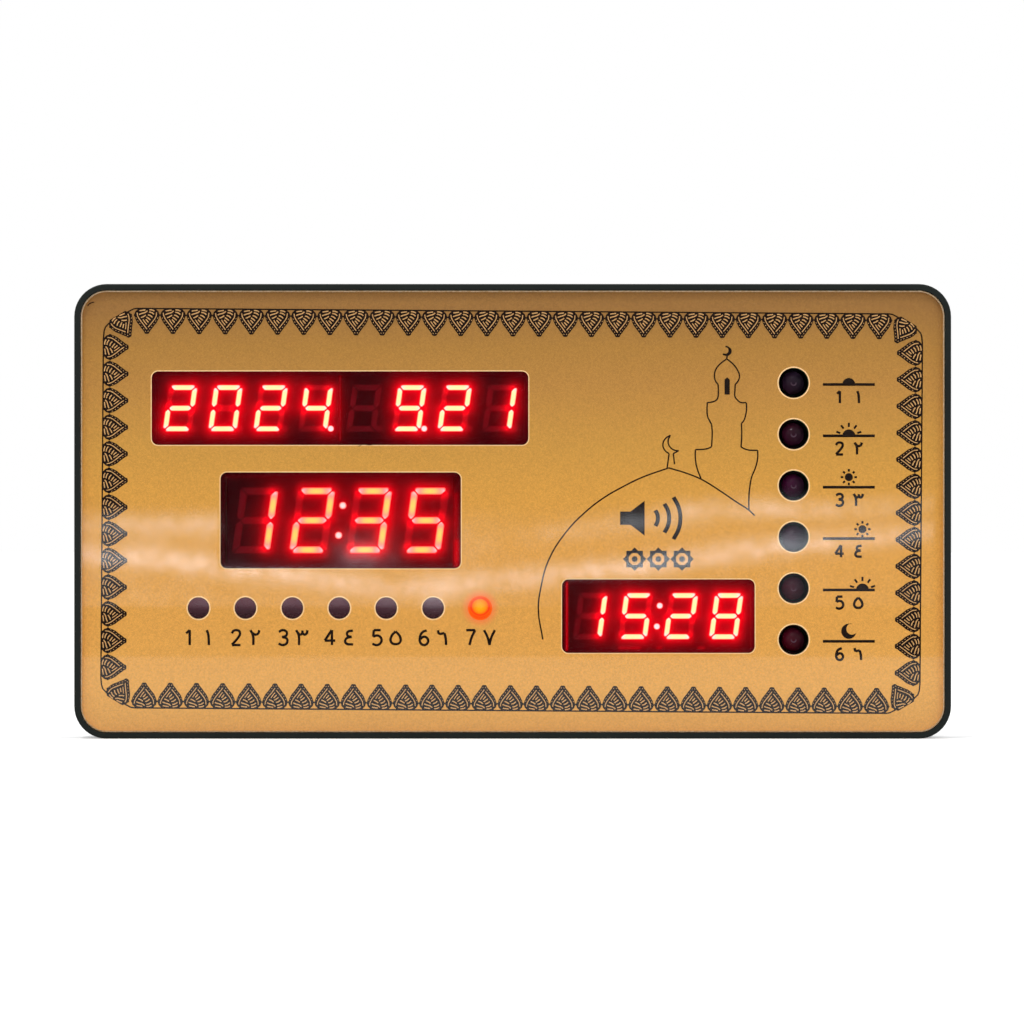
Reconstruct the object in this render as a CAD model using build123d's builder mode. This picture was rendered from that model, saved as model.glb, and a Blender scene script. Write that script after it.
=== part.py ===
from build123d import *
import os
from math import cos, pi, radians, sin, tan

os.makedirs("parts", exist_ok=True)

# Millimetres. X runs to the right, Y from the face to the back, Z up.
# The origin is on the table, under the middle of the case.

# ---- case ----
case_width = 270.0
case_height = 140.0
case_depth = 30.0
corner_radius = 10.0
wall = 2.0
middle_z = case_height / 2
front_y = -case_depth / 2
back_y = case_depth / 2
rim = 1.8  # width of the case edge that frames the face
edge_gap = 0.2  # play of the face inside the rim
rim_round = 0.5
back_round = 2.0
joint_gap = 0.05  # gap between parts that lie on each other
joint_set_back = 1.0  # the joint line of the two halves, from the inside of the back
cover_lip = 3.0  # how far the two halves overlap behind the joint line
lip_thickness = 1.2
lip_play = 0.2

# ---- face, layer by layer from the front ----
sheet_set_back = 0.6
sheet_thickness = 2.0
sheet_chamfer = 0.45
print_gap = 0.15  # room for the raised print between sheet and film
film_thickness = 0.25
filter_thickness = 0.4
filter_margin = 1.8  # how far a filter reaches past its opening
opening_play = 0.3  # the opening in the wall stands back from the printed edge
display_set_back = 0.8

# ---- windows in the face: centre and size ----
window_radius = 2.0
windows = {
    "date": {"at": (-53.2, 101.8), "size": (116.1, 22.7)},
    "clock": {"at": (-53.0, 67.2), "size": (74.1, 29.6)},
    "azan": {"at": (44.9, 37.7), "size": (59.4, 22.7)},
}

# ---- seven-segment displays ----
small_digit = {
    "body": (56.5, 21.0),
    "pitch": 13.95,
    "half_width": 3.65,
    "half_height": 6.35,
    "stroke": 1.75,
    "dot": 1.0,
    "dot_at": (4.55, -6.3),
    "colon_half": 3.2,
}
large_digit = {
    "body": (70.2, 27.6),
    "pitch": 17.55,
    "half_width": 4.75,
    "half_height": 9.05,
    "stroke": 2.2,
    "dot": 1.1,
    "dot_at": (6.0, -9.0),
    "colon_half": 4.6,
}
digits_per_display = 4
slant = 8.0  # degrees that the digits lean
segment_gap = 0.25
segment_depth = 1.0
displays = {
    "date_display_left": {"window": "date", "shift": -28.35, "digit": small_digit, "points": True},
    "date_display_right": {"window": "date", "shift": 28.35, "digit": small_digit, "points": True},
    "clock_display": {"window": "clock", "shift": 0.0, "digit": large_digit, "points": False},
    "azan_display": {"window": "azan", "shift": 0.0, "digit": small_digit, "points": False},
}
pins_per_row = 6
pin_pitch = 2.54
pin_inset = 1.6
pin_radius = 0.25
pin_hole_radius = 0.4
pin_stick_out = 1.2

# ---- lamps ----
big_lamp = {"radius": 4.0, "flange": 4.5, "height": 9.1, "hole": 4.65}
small_lamp = {"radius": 2.5, "flange": 2.9, "height": 8.6, "hole": 3.35}
lamp_flange_height = 1.2
prayer_lamp_x = 86.6
prayer_lamp_top = 109.6
prayer_lamp_pitch = 15.83
prayer_lamp_count = 6
weekday_lamp_left = -96.8
weekday_lamp_z = 40.2
weekday_lamp_pitch = 14.46
weekday_lamp_count = 7

# ---- circuit boards ----
board_front = -2.8
board_thickness = 1.6
board_width = 236.0
board_height = 112.0
board_radius = 2.0
board_post_x = 112.0
board_post_z = 50.0  # above and below the middle
board_post_radius = 3.0
board_middle_post = (4.0, 66.0)

# ---- screws: shank and head ----
case_screw = {"shank": 1.4, "head": 2.7, "head_height": 1.8, "length": 14.0}
board_screw = {"shank": 1.1, "head": 2.1, "head_height": 1.3, "length": 6.0}
speaker_screw = {"shank": 0.9, "head": 3.2, "head_height": 0.8, "length": 2.4}
screw_play = 0.1
drive_width = 0.6  # cross slot in the head
drive_depth = 0.5
drive_span = 1.2  # its length as a share of the head's radius
case_screw_inset = 10.0
case_post_radius = 3.5
cover_post_radius = 4.2
counterbore_radius = 3.2
counterbore_depth = 3.0

# ---- hanging keyholes in the rear cover ----
keyhole_x = 85.0
keyhole_z = 116.0
keyhole_radius = 4.2
keyhole_slot_radius = 2.2
keyhole_rise = 8.0

# ---- speaker ----
speaker_at = (78.0, 66.0)
speaker_radius = 20.0
speaker_rim = 2.4
speaker_rim_thickness = 1.2
basket_small_radius = 11.4
basket_depth = 6.0
basket_wall = 0.6
magnet_radius = 11.5
magnet_height = 3.8
cone_wall = 0.4
cone_small_radius = 5.5
cone_depth = 4.0
cone_rim_gap = 0.3
cone_cap_rise = 1.6
grille_radius = 17.0
grille_pitch = 3.6
grille_slot = 1.6
speaker_screw_circle = 22.6
speaker_screw_count = 3
speaker_ring_play = 0.3

# ---- battery bay: two cells side by side ----
bay_at = (-61.0, 34.0)
bay_size = (54.0, 23.0)
bay_depth = 12.8
bay_wall = 1.4
cell_radius = 5.25
cell_length = 43.7
cell_pitch = 11.2
nub_radius = 1.9
nub_length = 0.8
contact_size = (0.4, 8.0, 8.0)
dimple_radius = 1.2
dimple_height = 0.8
door_size = (58.0, 27.0)
door_thickness = 1.6
door_play = 0.3
door_step = 1.7
hinge_radius = 1.4
hinge_inset = 1.9  # axis to the edge of the recess
hinge_stub_radius = 0.8
hinge_stub_length = 1.4
hinge_play = 0.15
door_ridges = 5
door_ridge = (0.8, 9.0, 0.4)
door_ridge_pitch = 1.8

# ---- supply socket ----
socket_at = (110.0, 32.0)
socket_size = (9.0, 11.0)
socket_bore = 3.15
socket_bore_depth = 11.0
socket_pin_radius = 1.05
socket_pin_length = 9.5
socket_mouth = 4.2
socket_set_back = 1.5  # of the socket's face behind the wall

# ---- setting buttons ----
button_names = ["mode_button", "set_button", "up_button", "down_button", "stop_button"]
button_z = 108.0
button_pitch = 14.0
button_radius = 3.6
button_hole_play = 0.25
button_collar_radius = 4.8
button_collar_thickness = 1.0
button_round = 0.6
button_proud = 1.4  # height of a cap above the dish
dish_size = (74.0, 13.0)
dish_radius = 6.0
dish_depth = 1.6
switch_side = 6.0
switch_height = 3.4
plunger_radius = 1.7
plunger_play = 0.15
plunger_proud = 1.0
plunger_inside = 1.2
plunger_room = 0.8
button_board_size = (84.0, 15.0)
button_board_back = 5.2
button_post_x = 38.5
button_post_radius = 2.5

# ---- prop leg ----
leg_width = 22.0
leg_foot_z = 4.0
leg_pivot_y = 12.5
leg_pivot_z = 88.0
leg_heel = 4.5  # reaches past the pin and stops the leg when it is open
leg_thickness = 2.7
leg_face_y = 14.85
leg_barrel_radius = 2.3
leg_pin_radius = 1.2
leg_pin_play = 0.1
leg_pin_reach = 3.2  # of the pin into each ear
leg_side_gap = 0.5
leg_top_gap = 0.9  # room for the heel to turn
leg_floor_gap = 0.3
leg_foot_radius = 5.0
leg_window = (12.0, 50.0)
leg_window_depth = 1.2
ear_width = 4.2
hinge_pit_y = 9.8
hinge_pit_length = 9.6
pocket_wall = 1.5

# ---- parts on the main board ----
chips = {
    "control": {"at": (-53.0, 67.0), "size": (28.0, 9.0, 2.4)},
    "voice": {"at": (40.0, 66.0), "size": (13.0, 8.0, 1.8)},
    "driver_low": {"at": (36.0, 100.0), "size": (15.0, 7.0, 1.8)},
    "driver_high": {"at": (62.0, 100.0), "size": (15.0, 7.0, 1.8)},
}
capacitor_spots = [(112.0, 46.0), (112.0, 60.0), (104.0, 92.0)]
capacitor_radius = 4.0
capacitor_height = 8.0
connector_size = (7.6, 4.6, 5.0)
connectors = {
    "speaker": (50.0, 82.0),
    "battery": (-16.0, 20.0),
    "buttons": (-30.0, 88.0),
}

# ---- leads inside the case ----
lead_radius = 0.5
lead_spread = 1.3  # half the distance between the two leads of a pair
lead_bend = 1.5
speaker_lead_y = 7.5
battery_lead_y = 7.2
battery_lead_corner_x = -24.0
speaker_tag = (2.0, 6.0, 1.0)
cable_width = 8.0
cable_thickness = 0.8
cable_top = 7.4
cable_foot = 2.0  # from the edge of the button board

# ---- depths that follow ----
sheet_front = front_y + sheet_set_back
sheet_back = sheet_front + sheet_thickness
film_front = sheet_back + print_gap
film_back = film_front + film_thickness
wall_front = film_back + joint_gap
wall_back = wall_front + wall
display_front = wall_front + display_set_back
frame_back = back_y - wall - joint_set_back
cover_front = frame_back + joint_gap
cover_inside = back_y - wall
board_back = board_front + board_thickness
face_size = (case_width - 2 * (rim + edge_gap), case_height - 2 * (rim + edge_gap))
face_radius = corner_radius - rim - edge_gap
inner_size = (case_width - 2 * wall, case_height - 2 * wall)
inner_radius = corner_radius - wall

# ---- places that follow ----
prayer_lamps = [
    (prayer_lamp_x, prayer_lamp_top - n * prayer_lamp_pitch) for n in range(prayer_lamp_count)
]
weekday_lamps = [
    (weekday_lamp_left + n * weekday_lamp_pitch, weekday_lamp_z) for n in range(weekday_lamp_count)
]
lead_spots = [
    (x + side * pin_pitch / 2, z) for x, z in prayer_lamps + weekday_lamps for side in (-1, 1)
]
case_screw_spots = [
    (side * (case_width / 2 - case_screw_inset), z)
    for side in (-1, 1)
    for z in (case_screw_inset, middle_z, case_height - case_screw_inset)
]
board_screw_spots = [
    (side * board_post_x, middle_z + up * board_post_z) for side in (-1, 1) for up in (-1, 1)
] + [board_middle_post]
button_spots = [
    ((n - (len(button_names) - 1) / 2) * button_pitch, button_z) for n in range(len(button_names))
]
button_post_spots = [(-button_post_x, button_z), (button_post_x, button_z)]
speaker_screw_spots = [
    (
        speaker_at[0] + speaker_screw_circle * cos(pi / 2 + n * 2 * pi / speaker_screw_count),
        speaker_at[1] + speaker_screw_circle * sin(pi / 2 + n * 2 * pi / speaker_screw_count),
    )
    for n in range(speaker_screw_count)
]
cell_spots = [bay_at[1] - cell_pitch / 2, bay_at[1] + cell_pitch / 2]
cell_y = back_y - door_step - joint_gap * 2 - cell_radius
hinge_x = bay_at[0] - door_size[0] / 2 + hinge_inset
hinge_y = back_y - hinge_radius


def facing(y):
    """Plane at depth y seen from the front: local x is right, local y is up, extrusion comes forward."""
    return Plane.XZ.offset(-y)


def display_centre(display):
    x, z = windows[display["window"]]["at"]
    return x + display["shift"], z


def pin_spots(display):
    """Two rows of pins, along the top and the bottom of a display."""
    x, z = display_centre(display)
    row = display["digit"]["body"][1] / 2 - pin_inset
    return [
        (x + (n - (pins_per_row - 1) / 2) * pin_pitch, z + side * row)
        for n in range(pins_per_row)
        for side in (-1, 1)
    ]


def segment_outlines(digit):
    """The seven bars of one upright digit, centred on its middle."""
    w, h, half, gap = digit["half_width"], digit["half_height"], digit["stroke"] / 2, segment_gap
    cap = [
        (-w - half + gap, h + half),
        (w + half - gap, h + half),
        (w - half - gap, h - half),
        (-w + half + gap, h - half),
    ]
    side = [
        (w + half, h + half - gap),
        (w + half, half + gap),
        (w, gap),
        (w - half, half + gap),
        (w - half, h - half - gap),
    ]
    bar = [
        (-w + gap, 0),
        (-w + half + gap, half),
        (w - half - gap, half),
        (w - gap, 0),
        (w - half - gap, -half),
        (-w + half + gap, -half),
    ]
    turned = [[(x * mx, z * mz) for x, z in side] for mx in (1, -1) for mz in (1, -1)]
    return [cap, [(x, -z) for x, z in cap], bar] + turned


def draw_segments(display):
    """Add the bars, points or colon of a display to the sketch that is open."""
    digit = display["digit"]
    x0, z0 = display_centre(display)
    lean = tan(radians(slant))
    for n in range(digits_per_display):
        x = x0 + (n - (digits_per_display - 1) / 2) * digit["pitch"]
        for outline in segment_outlines(digit):
            Polygon(*[(x + px + pz * lean, z0 + pz) for px, pz in outline], align=None)
        if display["points"]:
            with Locations((x + digit["dot_at"][0], z0 + digit["dot_at"][1])):
                Circle(digit["dot"])
    if not display["points"]:
        for side in (-1, 1):
            with Locations((x0 + side * digit["colon_half"] * lean, z0 + side * digit["colon_half"])):
                Circle(digit["dot"])


def screw(spots, seat_y, size, from_back):
    """Pan-head screws with a cross slot; the head sits behind seat_y, or in front of it."""
    out = 1 if from_back else -1
    head_y = seat_y + out * size["head_height"]
    with BuildPart() as screws:
        with BuildSketch(facing(head_y)):
            with Locations(*spots):
                Circle(size["head"])
        extrude(amount=out * size["head_height"])
        with BuildSketch(facing(seat_y)):
            with Locations(*spots):
                Circle(size["shank"])
        extrude(amount=out * size["length"])
        with BuildSketch(facing(head_y)):
            with Locations(*spots):
                Rectangle(drive_width, size["head"] * drive_span)
                Rectangle(size["head"] * drive_span, drive_width)
        extrude(amount=out * drive_depth, mode=Mode.SUBTRACT)
    return screws


def lead_pair(route):
    """Two round leads side by side, one above the other, along a route."""
    solids = []
    for side in (-1, 1):
        with BuildPart() as lead:
            with BuildLine() as path:
                FilletPolyline(*[(x, y, z + side * lead_spread) for x, y, z in route], radius=lead_bend)
            with BuildSketch(Plane(origin=path.line @ 0, z_dir=path.line % 0)):
                Circle(lead_radius)
            sweep()
        solids += lead.part.solids()
    return solids


# ---- front frame: rim, face wall and side walls in one moulding ----
with BuildPart() as front_frame:
    with BuildSketch(facing(frame_back)):
        with Locations((0, middle_z)):
            RectangleRounded(case_width, case_height, corner_radius)
    extrude(amount=frame_back - front_y)
    fillet(front_frame.edges().group_by(Axis.Y)[0], rim_round)
    with BuildSketch(facing(wall_front)):
        with Locations((0, middle_z)):
            RectangleRounded(case_width - 2 * rim, case_height - 2 * rim, corner_radius - rim)
    extrude(amount=wall_front - front_y, mode=Mode.SUBTRACT)
    with BuildSketch(facing(frame_back)):
        with Locations((0, middle_z)):
            RectangleRounded(*inner_size, inner_radius)
    extrude(amount=frame_back - wall_back, mode=Mode.SUBTRACT)
    # posts for the case screws and for the main board
    with BuildSketch(facing(cover_inside - cover_lip)):
        with Locations(*case_screw_spots):
            Circle(case_post_radius)
    extrude(amount=cover_inside - cover_lip - wall_back)
    with BuildSketch(facing(board_front)):
        with Locations(*board_screw_spots):
            Circle(board_post_radius)
    extrude(amount=board_front - wall_back)
    with BuildSketch(facing(cover_inside - cover_lip)):
        with Locations(*case_screw_spots):
            Circle(case_screw["shank"] + screw_play)
    extrude(amount=case_screw["length"], mode=Mode.SUBTRACT)
    with BuildSketch(facing(board_front)):
        with Locations(*board_screw_spots):
            Circle(board_screw["shank"] + screw_play)
    extrude(amount=board_screw["length"], mode=Mode.SUBTRACT)
    # a step round each window for its filter, then the openings
    with BuildSketch(facing(wall_front + filter_thickness + joint_gap)):
        for window in windows.values():
            w, h = window["size"]
            grow = 2 * (opening_play + filter_margin)
            with Locations(window["at"]):
                RectangleRounded(w + grow, h + grow, window_radius)
    extrude(amount=filter_thickness + joint_gap, mode=Mode.SUBTRACT)
    with BuildSketch(facing(wall_back)):
        for window in windows.values():
            w, h = window["size"]
            with Locations(window["at"]):
                RectangleRounded(w + 2 * opening_play, h + 2 * opening_play, window_radius)
        with Locations(*prayer_lamps):
            Circle(big_lamp["hole"])
        with Locations(*weekday_lamps):
            Circle(small_lamp["hole"])
    extrude(amount=wall, mode=Mode.SUBTRACT)
front_frame.part.label = "front_frame"
export_step(front_frame.part, "parts/front_frame.step")

# ---- clear front sheet ----
with BuildPart() as clear_front_sheet:
    with BuildSketch(facing(sheet_back)):
        with Locations((0, middle_z)):
            RectangleRounded(*face_size, face_radius)
    extrude(amount=sheet_thickness)
    chamfer(clear_front_sheet.edges().group_by(Axis.Y)[0], sheet_chamfer)
clear_front_sheet.part.label = "clear_front_sheet"
export_step(clear_front_sheet.part, "parts/clear_front_sheet.step")

# ---- gold face film, printed, with its windows and lamp holes cut ----
with BuildPart() as gold_face_film:
    with BuildSketch(facing(film_back)):
        with Locations((0, middle_z)):
            RectangleRounded(*face_size, face_radius)
        for window in windows.values():
            with Locations(window["at"]):
                RectangleRounded(*window["size"], window_radius, mode=Mode.SUBTRACT)
        with Locations(*prayer_lamps):
            Circle(big_lamp["hole"], mode=Mode.SUBTRACT)
        with Locations(*weekday_lamps):
            Circle(small_lamp["hole"], mode=Mode.SUBTRACT)
    extrude(amount=film_thickness)
gold_face_film.part.label = "gold_face_film"
export_step(gold_face_film.part, "parts/gold_face_film.step")

# ---- red filters, one behind each window ----
with BuildPart() as window_filters:
    with BuildSketch(facing(wall_front + filter_thickness)):
        for window in windows.values():
            w, h = window["size"]
            grow = 2 * (opening_play + filter_margin - edge_gap)
            with Locations(window["at"]):
                RectangleRounded(w + grow, h + grow, window_radius)
    extrude(amount=filter_thickness)
window_filters.part.label = "window_filters"
export_step(window_filters.part, "parts/window_filters.step")

# ---- displays: a potted body and the bars that light up in its face ----
for name, display in displays.items():
    with BuildPart() as display_body:
        with BuildSketch(facing(board_front)):
            with Locations(display_centre(display)):
                Rectangle(*display["digit"]["body"])
        extrude(amount=board_front - display_front)
        with BuildSketch(facing(display_front + segment_depth)):
            draw_segments(display)
        extrude(amount=segment_depth, mode=Mode.SUBTRACT)
    display_body.part.label = f"{name}_body"
    export_step(display_body.part, f"parts/{name}_body.step")

    with BuildPart() as display_segments:
        with BuildSketch(facing(display_front + segment_depth)):
            draw_segments(display)
        extrude(amount=segment_depth)
    display_segments.part.label = f"{name}_segments"
    export_step(display_segments.part, f"parts/{name}_segments.step")

# pins of the displays and lamps, through the main board
all_pin_spots = [spot for display in displays.values() for spot in pin_spots(display)] + lead_spots
with BuildPart() as solder_pins:
    with BuildSketch(facing(board_back + pin_stick_out)):
        with Locations(*all_pin_spots):
            Circle(pin_radius)
    extrude(amount=board_thickness + pin_stick_out)
solder_pins.part.label = "solder_pins"
export_step(solder_pins.part, "parts/solder_pins.step")


# ---- lamps: round LEDs on the main board, behind their holes ----
def lamp_body(x, z, lamp):
    flange, radius, height = lamp["flange"], lamp["radius"], lamp["height"]
    with BuildPart() as body:
        with BuildSketch(Plane.XY.offset(z)):
            with BuildLine():
                Polyline(
                    (x, board_front - height),
                    (x, board_front),
                    (x + flange, board_front),
                    (x + flange, board_front - lamp_flange_height),
                    (x + radius, board_front - lamp_flange_height),
                    (x + radius, board_front - height + radius),
                )
                RadiusArc(
                    (x + radius, board_front - height + radius),
                    (x, board_front - height),
                    radius,
                )
            make_face()
        revolve(axis=Axis((x, 0, z), (0, 1, 0)))
    return body


for group, spots, lamp in (
    ("prayer_lamp", prayer_lamps, big_lamp),
    ("weekday_lamp", weekday_lamps, small_lamp),
):
    for number, (x, z) in enumerate(spots, 1):
        led = lamp_body(x, z, lamp)
        led.part.label = f"{group}_{number}"
        export_step(led.part, f"parts/{group}_{number}.step")

# ---- main board ----
with BuildPart() as main_board:
    with BuildSketch(facing(board_back)):
        with Locations((0, middle_z)):
            RectangleRounded(board_width, board_height, board_radius)
        with Locations(*board_screw_spots):
            Circle(board_screw["shank"] + screw_play, mode=Mode.SUBTRACT)
        with Locations(*all_pin_spots):
            Circle(pin_hole_radius, mode=Mode.SUBTRACT)
    extrude(amount=board_thickness)
main_board.part.label = "main_board"
export_step(main_board.part, "parts/main_board.step")

with BuildPart() as board_chips:
    for chip in chips.values():
        length, width, height = chip["size"]
        with BuildSketch(facing(board_back + height)):
            with Locations(chip["at"]):
                Rectangle(length, width)
        extrude(amount=height)
board_chips.part.label = "board_chips"
export_step(board_chips.part, "parts/board_chips.step")

with BuildPart() as capacitors:
    with BuildSketch(facing(board_back + capacitor_height)):
        with Locations(*capacitor_spots):
            Circle(capacitor_radius)
    extrude(amount=capacitor_height)
capacitors.part.label = "capacitors"
export_step(capacitors.part, "parts/capacitors.step")

with BuildPart() as board_connectors:
    with BuildSketch(facing(board_back + connector_size[2])):
        with Locations(*connectors.values()):
            Rectangle(*connector_size[:2])
    extrude(amount=connector_size[2])
board_connectors.part.label = "board_connectors"
export_step(board_connectors.part, "parts/board_connectors.step")

# ---- rear cover: a shallow tray with pockets for everything reached from behind ----
leg_pocket_width = leg_width + 2 * leg_side_gap
leg_floor_y = leg_face_y - leg_thickness - leg_floor_gap
leg_pocket_top = leg_pivot_z + leg_heel + leg_top_gap
pocket_low_z = wall + lip_play
hinge_pit_z = leg_pocket_top - hinge_pit_length / 2
ear_reach = leg_pocket_width / 2 + ear_width
dish_floor = back_y - dish_depth

with BuildPart() as rear_cover:
    with BuildSketch(facing(back_y)):
        with Locations((0, middle_z)):
            RectangleRounded(case_width, case_height, corner_radius)
    extrude(amount=back_y - cover_front)
    fillet(rear_cover.edges().group_by(Axis.Y)[-1], back_round)
    with BuildSketch(facing(cover_inside)):
        with Locations((0, middle_z)):
            RectangleRounded(*inner_size, inner_radius)
    extrude(amount=cover_inside - cover_front, mode=Mode.SUBTRACT)
    # lip that slides into the front frame
    with BuildSketch(facing(cover_inside)):
        lip_size = (inner_size[0] - 2 * lip_play, inner_size[1] - 2 * lip_play)
        with Locations((0, middle_z)):
            RectangleRounded(*lip_size, inner_radius - lip_play)
            RectangleRounded(
                lip_size[0] - 2 * lip_thickness,
                lip_size[1] - 2 * lip_thickness,
                inner_radius - lip_play - lip_thickness,
                mode=Mode.SUBTRACT,
            )
    extrude(amount=cover_lip)
    # posts for the case screws and the button board
    with BuildSketch(facing(cover_inside)):
        with Locations(*case_screw_spots):
            Circle(cover_post_radius)
    extrude(amount=cover_lip - joint_gap)
    with BuildSketch(facing(cover_inside)):
        with Locations(*button_post_spots):
            Circle(button_post_radius)
    extrude(amount=cover_inside - button_board_back)
    with BuildSketch(facing(cover_inside)):
        with Locations(*speaker_screw_spots):
            Circle(speaker_screw["head"] - screw_play)
        with Locations(speaker_at):
            Circle(speaker_radius + speaker_ring_play, mode=Mode.SUBTRACT)
    extrude(amount=speaker_rim_thickness + joint_gap)
    # outsides of the battery bay, the leg pocket and the button dish
    with BuildSketch(facing(cover_inside)):
        with Locations(bay_at):
            Rectangle(bay_size[0] + 2 * bay_wall, bay_size[1] + 2 * bay_wall)
    extrude(amount=bay_depth + bay_wall - wall)
    with BuildSketch(facing(cover_inside)):
        with Locations(bay_at):
            Rectangle(door_size[0] + 2 * bay_wall, door_size[1] + 2 * bay_wall)
    extrude(amount=hinge_radius + hinge_play + bay_wall)
    with BuildSketch(facing(cover_inside)):
        with Locations((0, (pocket_low_z + leg_pocket_top + pocket_wall) / 2)):
            Rectangle(leg_pocket_width + 2 * pocket_wall, leg_pocket_top + pocket_wall - pocket_low_z)
    extrude(amount=cover_inside - leg_floor_y + pocket_wall)
    with BuildSketch(facing(cover_inside)):
        with Locations((0, hinge_pit_z)):
            Rectangle(2 * ear_reach, hinge_pit_length + 2 * pocket_wall)
    extrude(amount=cover_inside - hinge_pit_y + pocket_wall)
    with BuildSketch(facing(cover_inside)):
        with Locations((0, button_z)):
            RectangleRounded(dish_size[0] + 2 * dish_depth, dish_size[1] + 2 * dish_depth, dish_radius)
    extrude(amount=dish_depth - wall + pocket_wall)

    # battery bay: the step for the door, the bay and the trough of the hinge
    with BuildSketch(facing(back_y)):
        with Locations(bay_at):
            Rectangle(*door_size)
    extrude(amount=door_step, mode=Mode.SUBTRACT)
    with BuildSketch(facing(back_y)):
        with Locations(bay_at):
            Rectangle(*bay_size)
    extrude(amount=bay_depth, mode=Mode.SUBTRACT)
    with BuildSketch(facing(back_y)):
        with Locations((bay_at[0] - door_size[0] / 2 + hinge_inset, bay_at[1])):
            Rectangle(2 * hinge_inset, door_size[1])
    extrude(amount=2 * hinge_radius + hinge_play, mode=Mode.SUBTRACT)
    with BuildSketch(Plane.XY.offset(bay_at[1])):
        with Locations((hinge_x, hinge_y)):
            Circle(hinge_stub_radius + hinge_play / 2)
    extrude(amount=door_size[1] / 2 + hinge_stub_length, both=True, mode=Mode.SUBTRACT)
    # leg pocket, open at the bottom, with a deeper pit for the hinge
    with BuildSketch(facing(back_y)):
        with Locations((0, leg_pocket_top / 2)):
            Rectangle(leg_pocket_width, leg_pocket_top)
    extrude(amount=back_y - leg_floor_y, mode=Mode.SUBTRACT)
    with BuildSketch(facing(back_y)):
        with Locations((0, hinge_pit_z)):
            Rectangle(leg_pocket_width, hinge_pit_length)
    extrude(amount=back_y - hinge_pit_y, mode=Mode.SUBTRACT)
    with BuildSketch(Plane.YZ):
        with Locations((leg_pivot_y, leg_pivot_z)):
            Circle(leg_pin_radius + joint_gap)
    extrude(
        amount=leg_pocket_width / 2 + leg_pin_reach + joint_gap, both=True, mode=Mode.SUBTRACT
    )
    # dish and holes of the buttons
    with BuildSketch(facing(back_y)):
        with Locations((0, button_z)):
            RectangleRounded(*dish_size, dish_radius)
    extrude(amount=dish_depth, mode=Mode.SUBTRACT)
    with BuildSketch(facing(back_y)):
        with Locations(*button_spots):
            Circle(button_radius + button_hole_play)
    extrude(amount=dish_depth + wall, mode=Mode.SUBTRACT)
    with BuildSketch(facing(button_board_back + board_screw["length"])):
        with Locations(*button_post_spots):
            Circle(board_screw["shank"] + screw_play)
    extrude(amount=board_screw["length"], mode=Mode.SUBTRACT)
    # counterbored holes for the case screws
    with BuildSketch(facing(back_y)):
        with Locations(*case_screw_spots):
            Circle(counterbore_radius)
    extrude(amount=counterbore_depth, mode=Mode.SUBTRACT)
    with BuildSketch(facing(back_y)):
        with Locations(*case_screw_spots):
            Circle(case_screw["shank"] + screw_play)
    extrude(amount=wall + cover_lip, mode=Mode.SUBTRACT)
    # keyholes
    with BuildSketch(facing(back_y)):
        for side in (-1, 1):
            with Locations((side * keyhole_x, keyhole_z)):
                Circle(keyhole_radius)
            with Locations((side * keyhole_x, keyhole_z + keyhole_rise / 2)):
                SlotOverall(keyhole_rise + 2 * keyhole_slot_radius, 2 * keyhole_slot_radius, rotation=90)
    extrude(amount=wall, mode=Mode.SUBTRACT)
    # speaker grille: level slots that fill a circle
    with BuildSketch(facing(back_y)):
        rows = int(grille_radius // grille_pitch)
        for row in range(-rows, rows + 1):
            rise = row * grille_pitch
            length = 2 * (grille_radius**2 - rise**2) ** 0.5
            with Locations((speaker_at[0], speaker_at[1] + rise)):
                SlotOverall(length, grille_slot)
    extrude(amount=wall, mode=Mode.SUBTRACT)
    with BuildSketch(facing(cover_inside)):
        with Locations(*speaker_screw_spots):
            Circle(speaker_screw["shank"] + screw_play)
    extrude(amount=-(speaker_screw["length"] - speaker_rim_thickness), mode=Mode.SUBTRACT)
    with BuildSketch(facing(cover_inside)):
        with Locations(*speaker_screw_spots):
            Circle(speaker_screw["shank"] + screw_play)
    extrude(amount=speaker_rim_thickness + joint_gap, mode=Mode.SUBTRACT)
    # mouth of the supply socket
    with BuildSketch(facing(back_y)):
        with Locations(socket_at):
            Circle(socket_mouth)
    extrude(amount=wall, mode=Mode.SUBTRACT)
rear_cover.part.label = "rear_cover"
export_step(rear_cover.part, "parts/rear_cover.step")

# ---- speaker ----
sx, sz = speaker_at
rim_y = cover_inside - joint_gap
basket_top = rim_y - speaker_rim_thickness
basket_end = basket_top - basket_depth
tag_x = sx - speaker_radius + speaker_tag[0] / 2 + edge_gap
with BuildPart() as speaker_basket:
    with BuildSketch(Plane.XY.offset(sz)):
        Polygon(
            (sx + speaker_radius, rim_y),
            (sx + speaker_radius, basket_top),
            (sx + speaker_radius - speaker_rim, basket_top),
            (sx + basket_small_radius, basket_end),
            (sx, basket_end),
            (sx, basket_end + basket_wall),
            (sx + basket_small_radius - basket_wall, basket_end + basket_wall),
            (sx + speaker_radius - speaker_rim - basket_wall, basket_top),
            (sx + speaker_radius - speaker_rim, rim_y),
            align=None,
        )
    revolve(axis=Axis((sx, 0, sz), (0, 1, 0)))
    # tag that the leads are soldered to
    with BuildSketch(facing(basket_top)):
        with Locations((tag_x, sz)):
            Rectangle(*speaker_tag[:2])
    extrude(amount=speaker_tag[2])
speaker_basket.part.label = "speaker_basket"
export_step(speaker_basket.part, "parts/speaker_basket.step")

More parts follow.
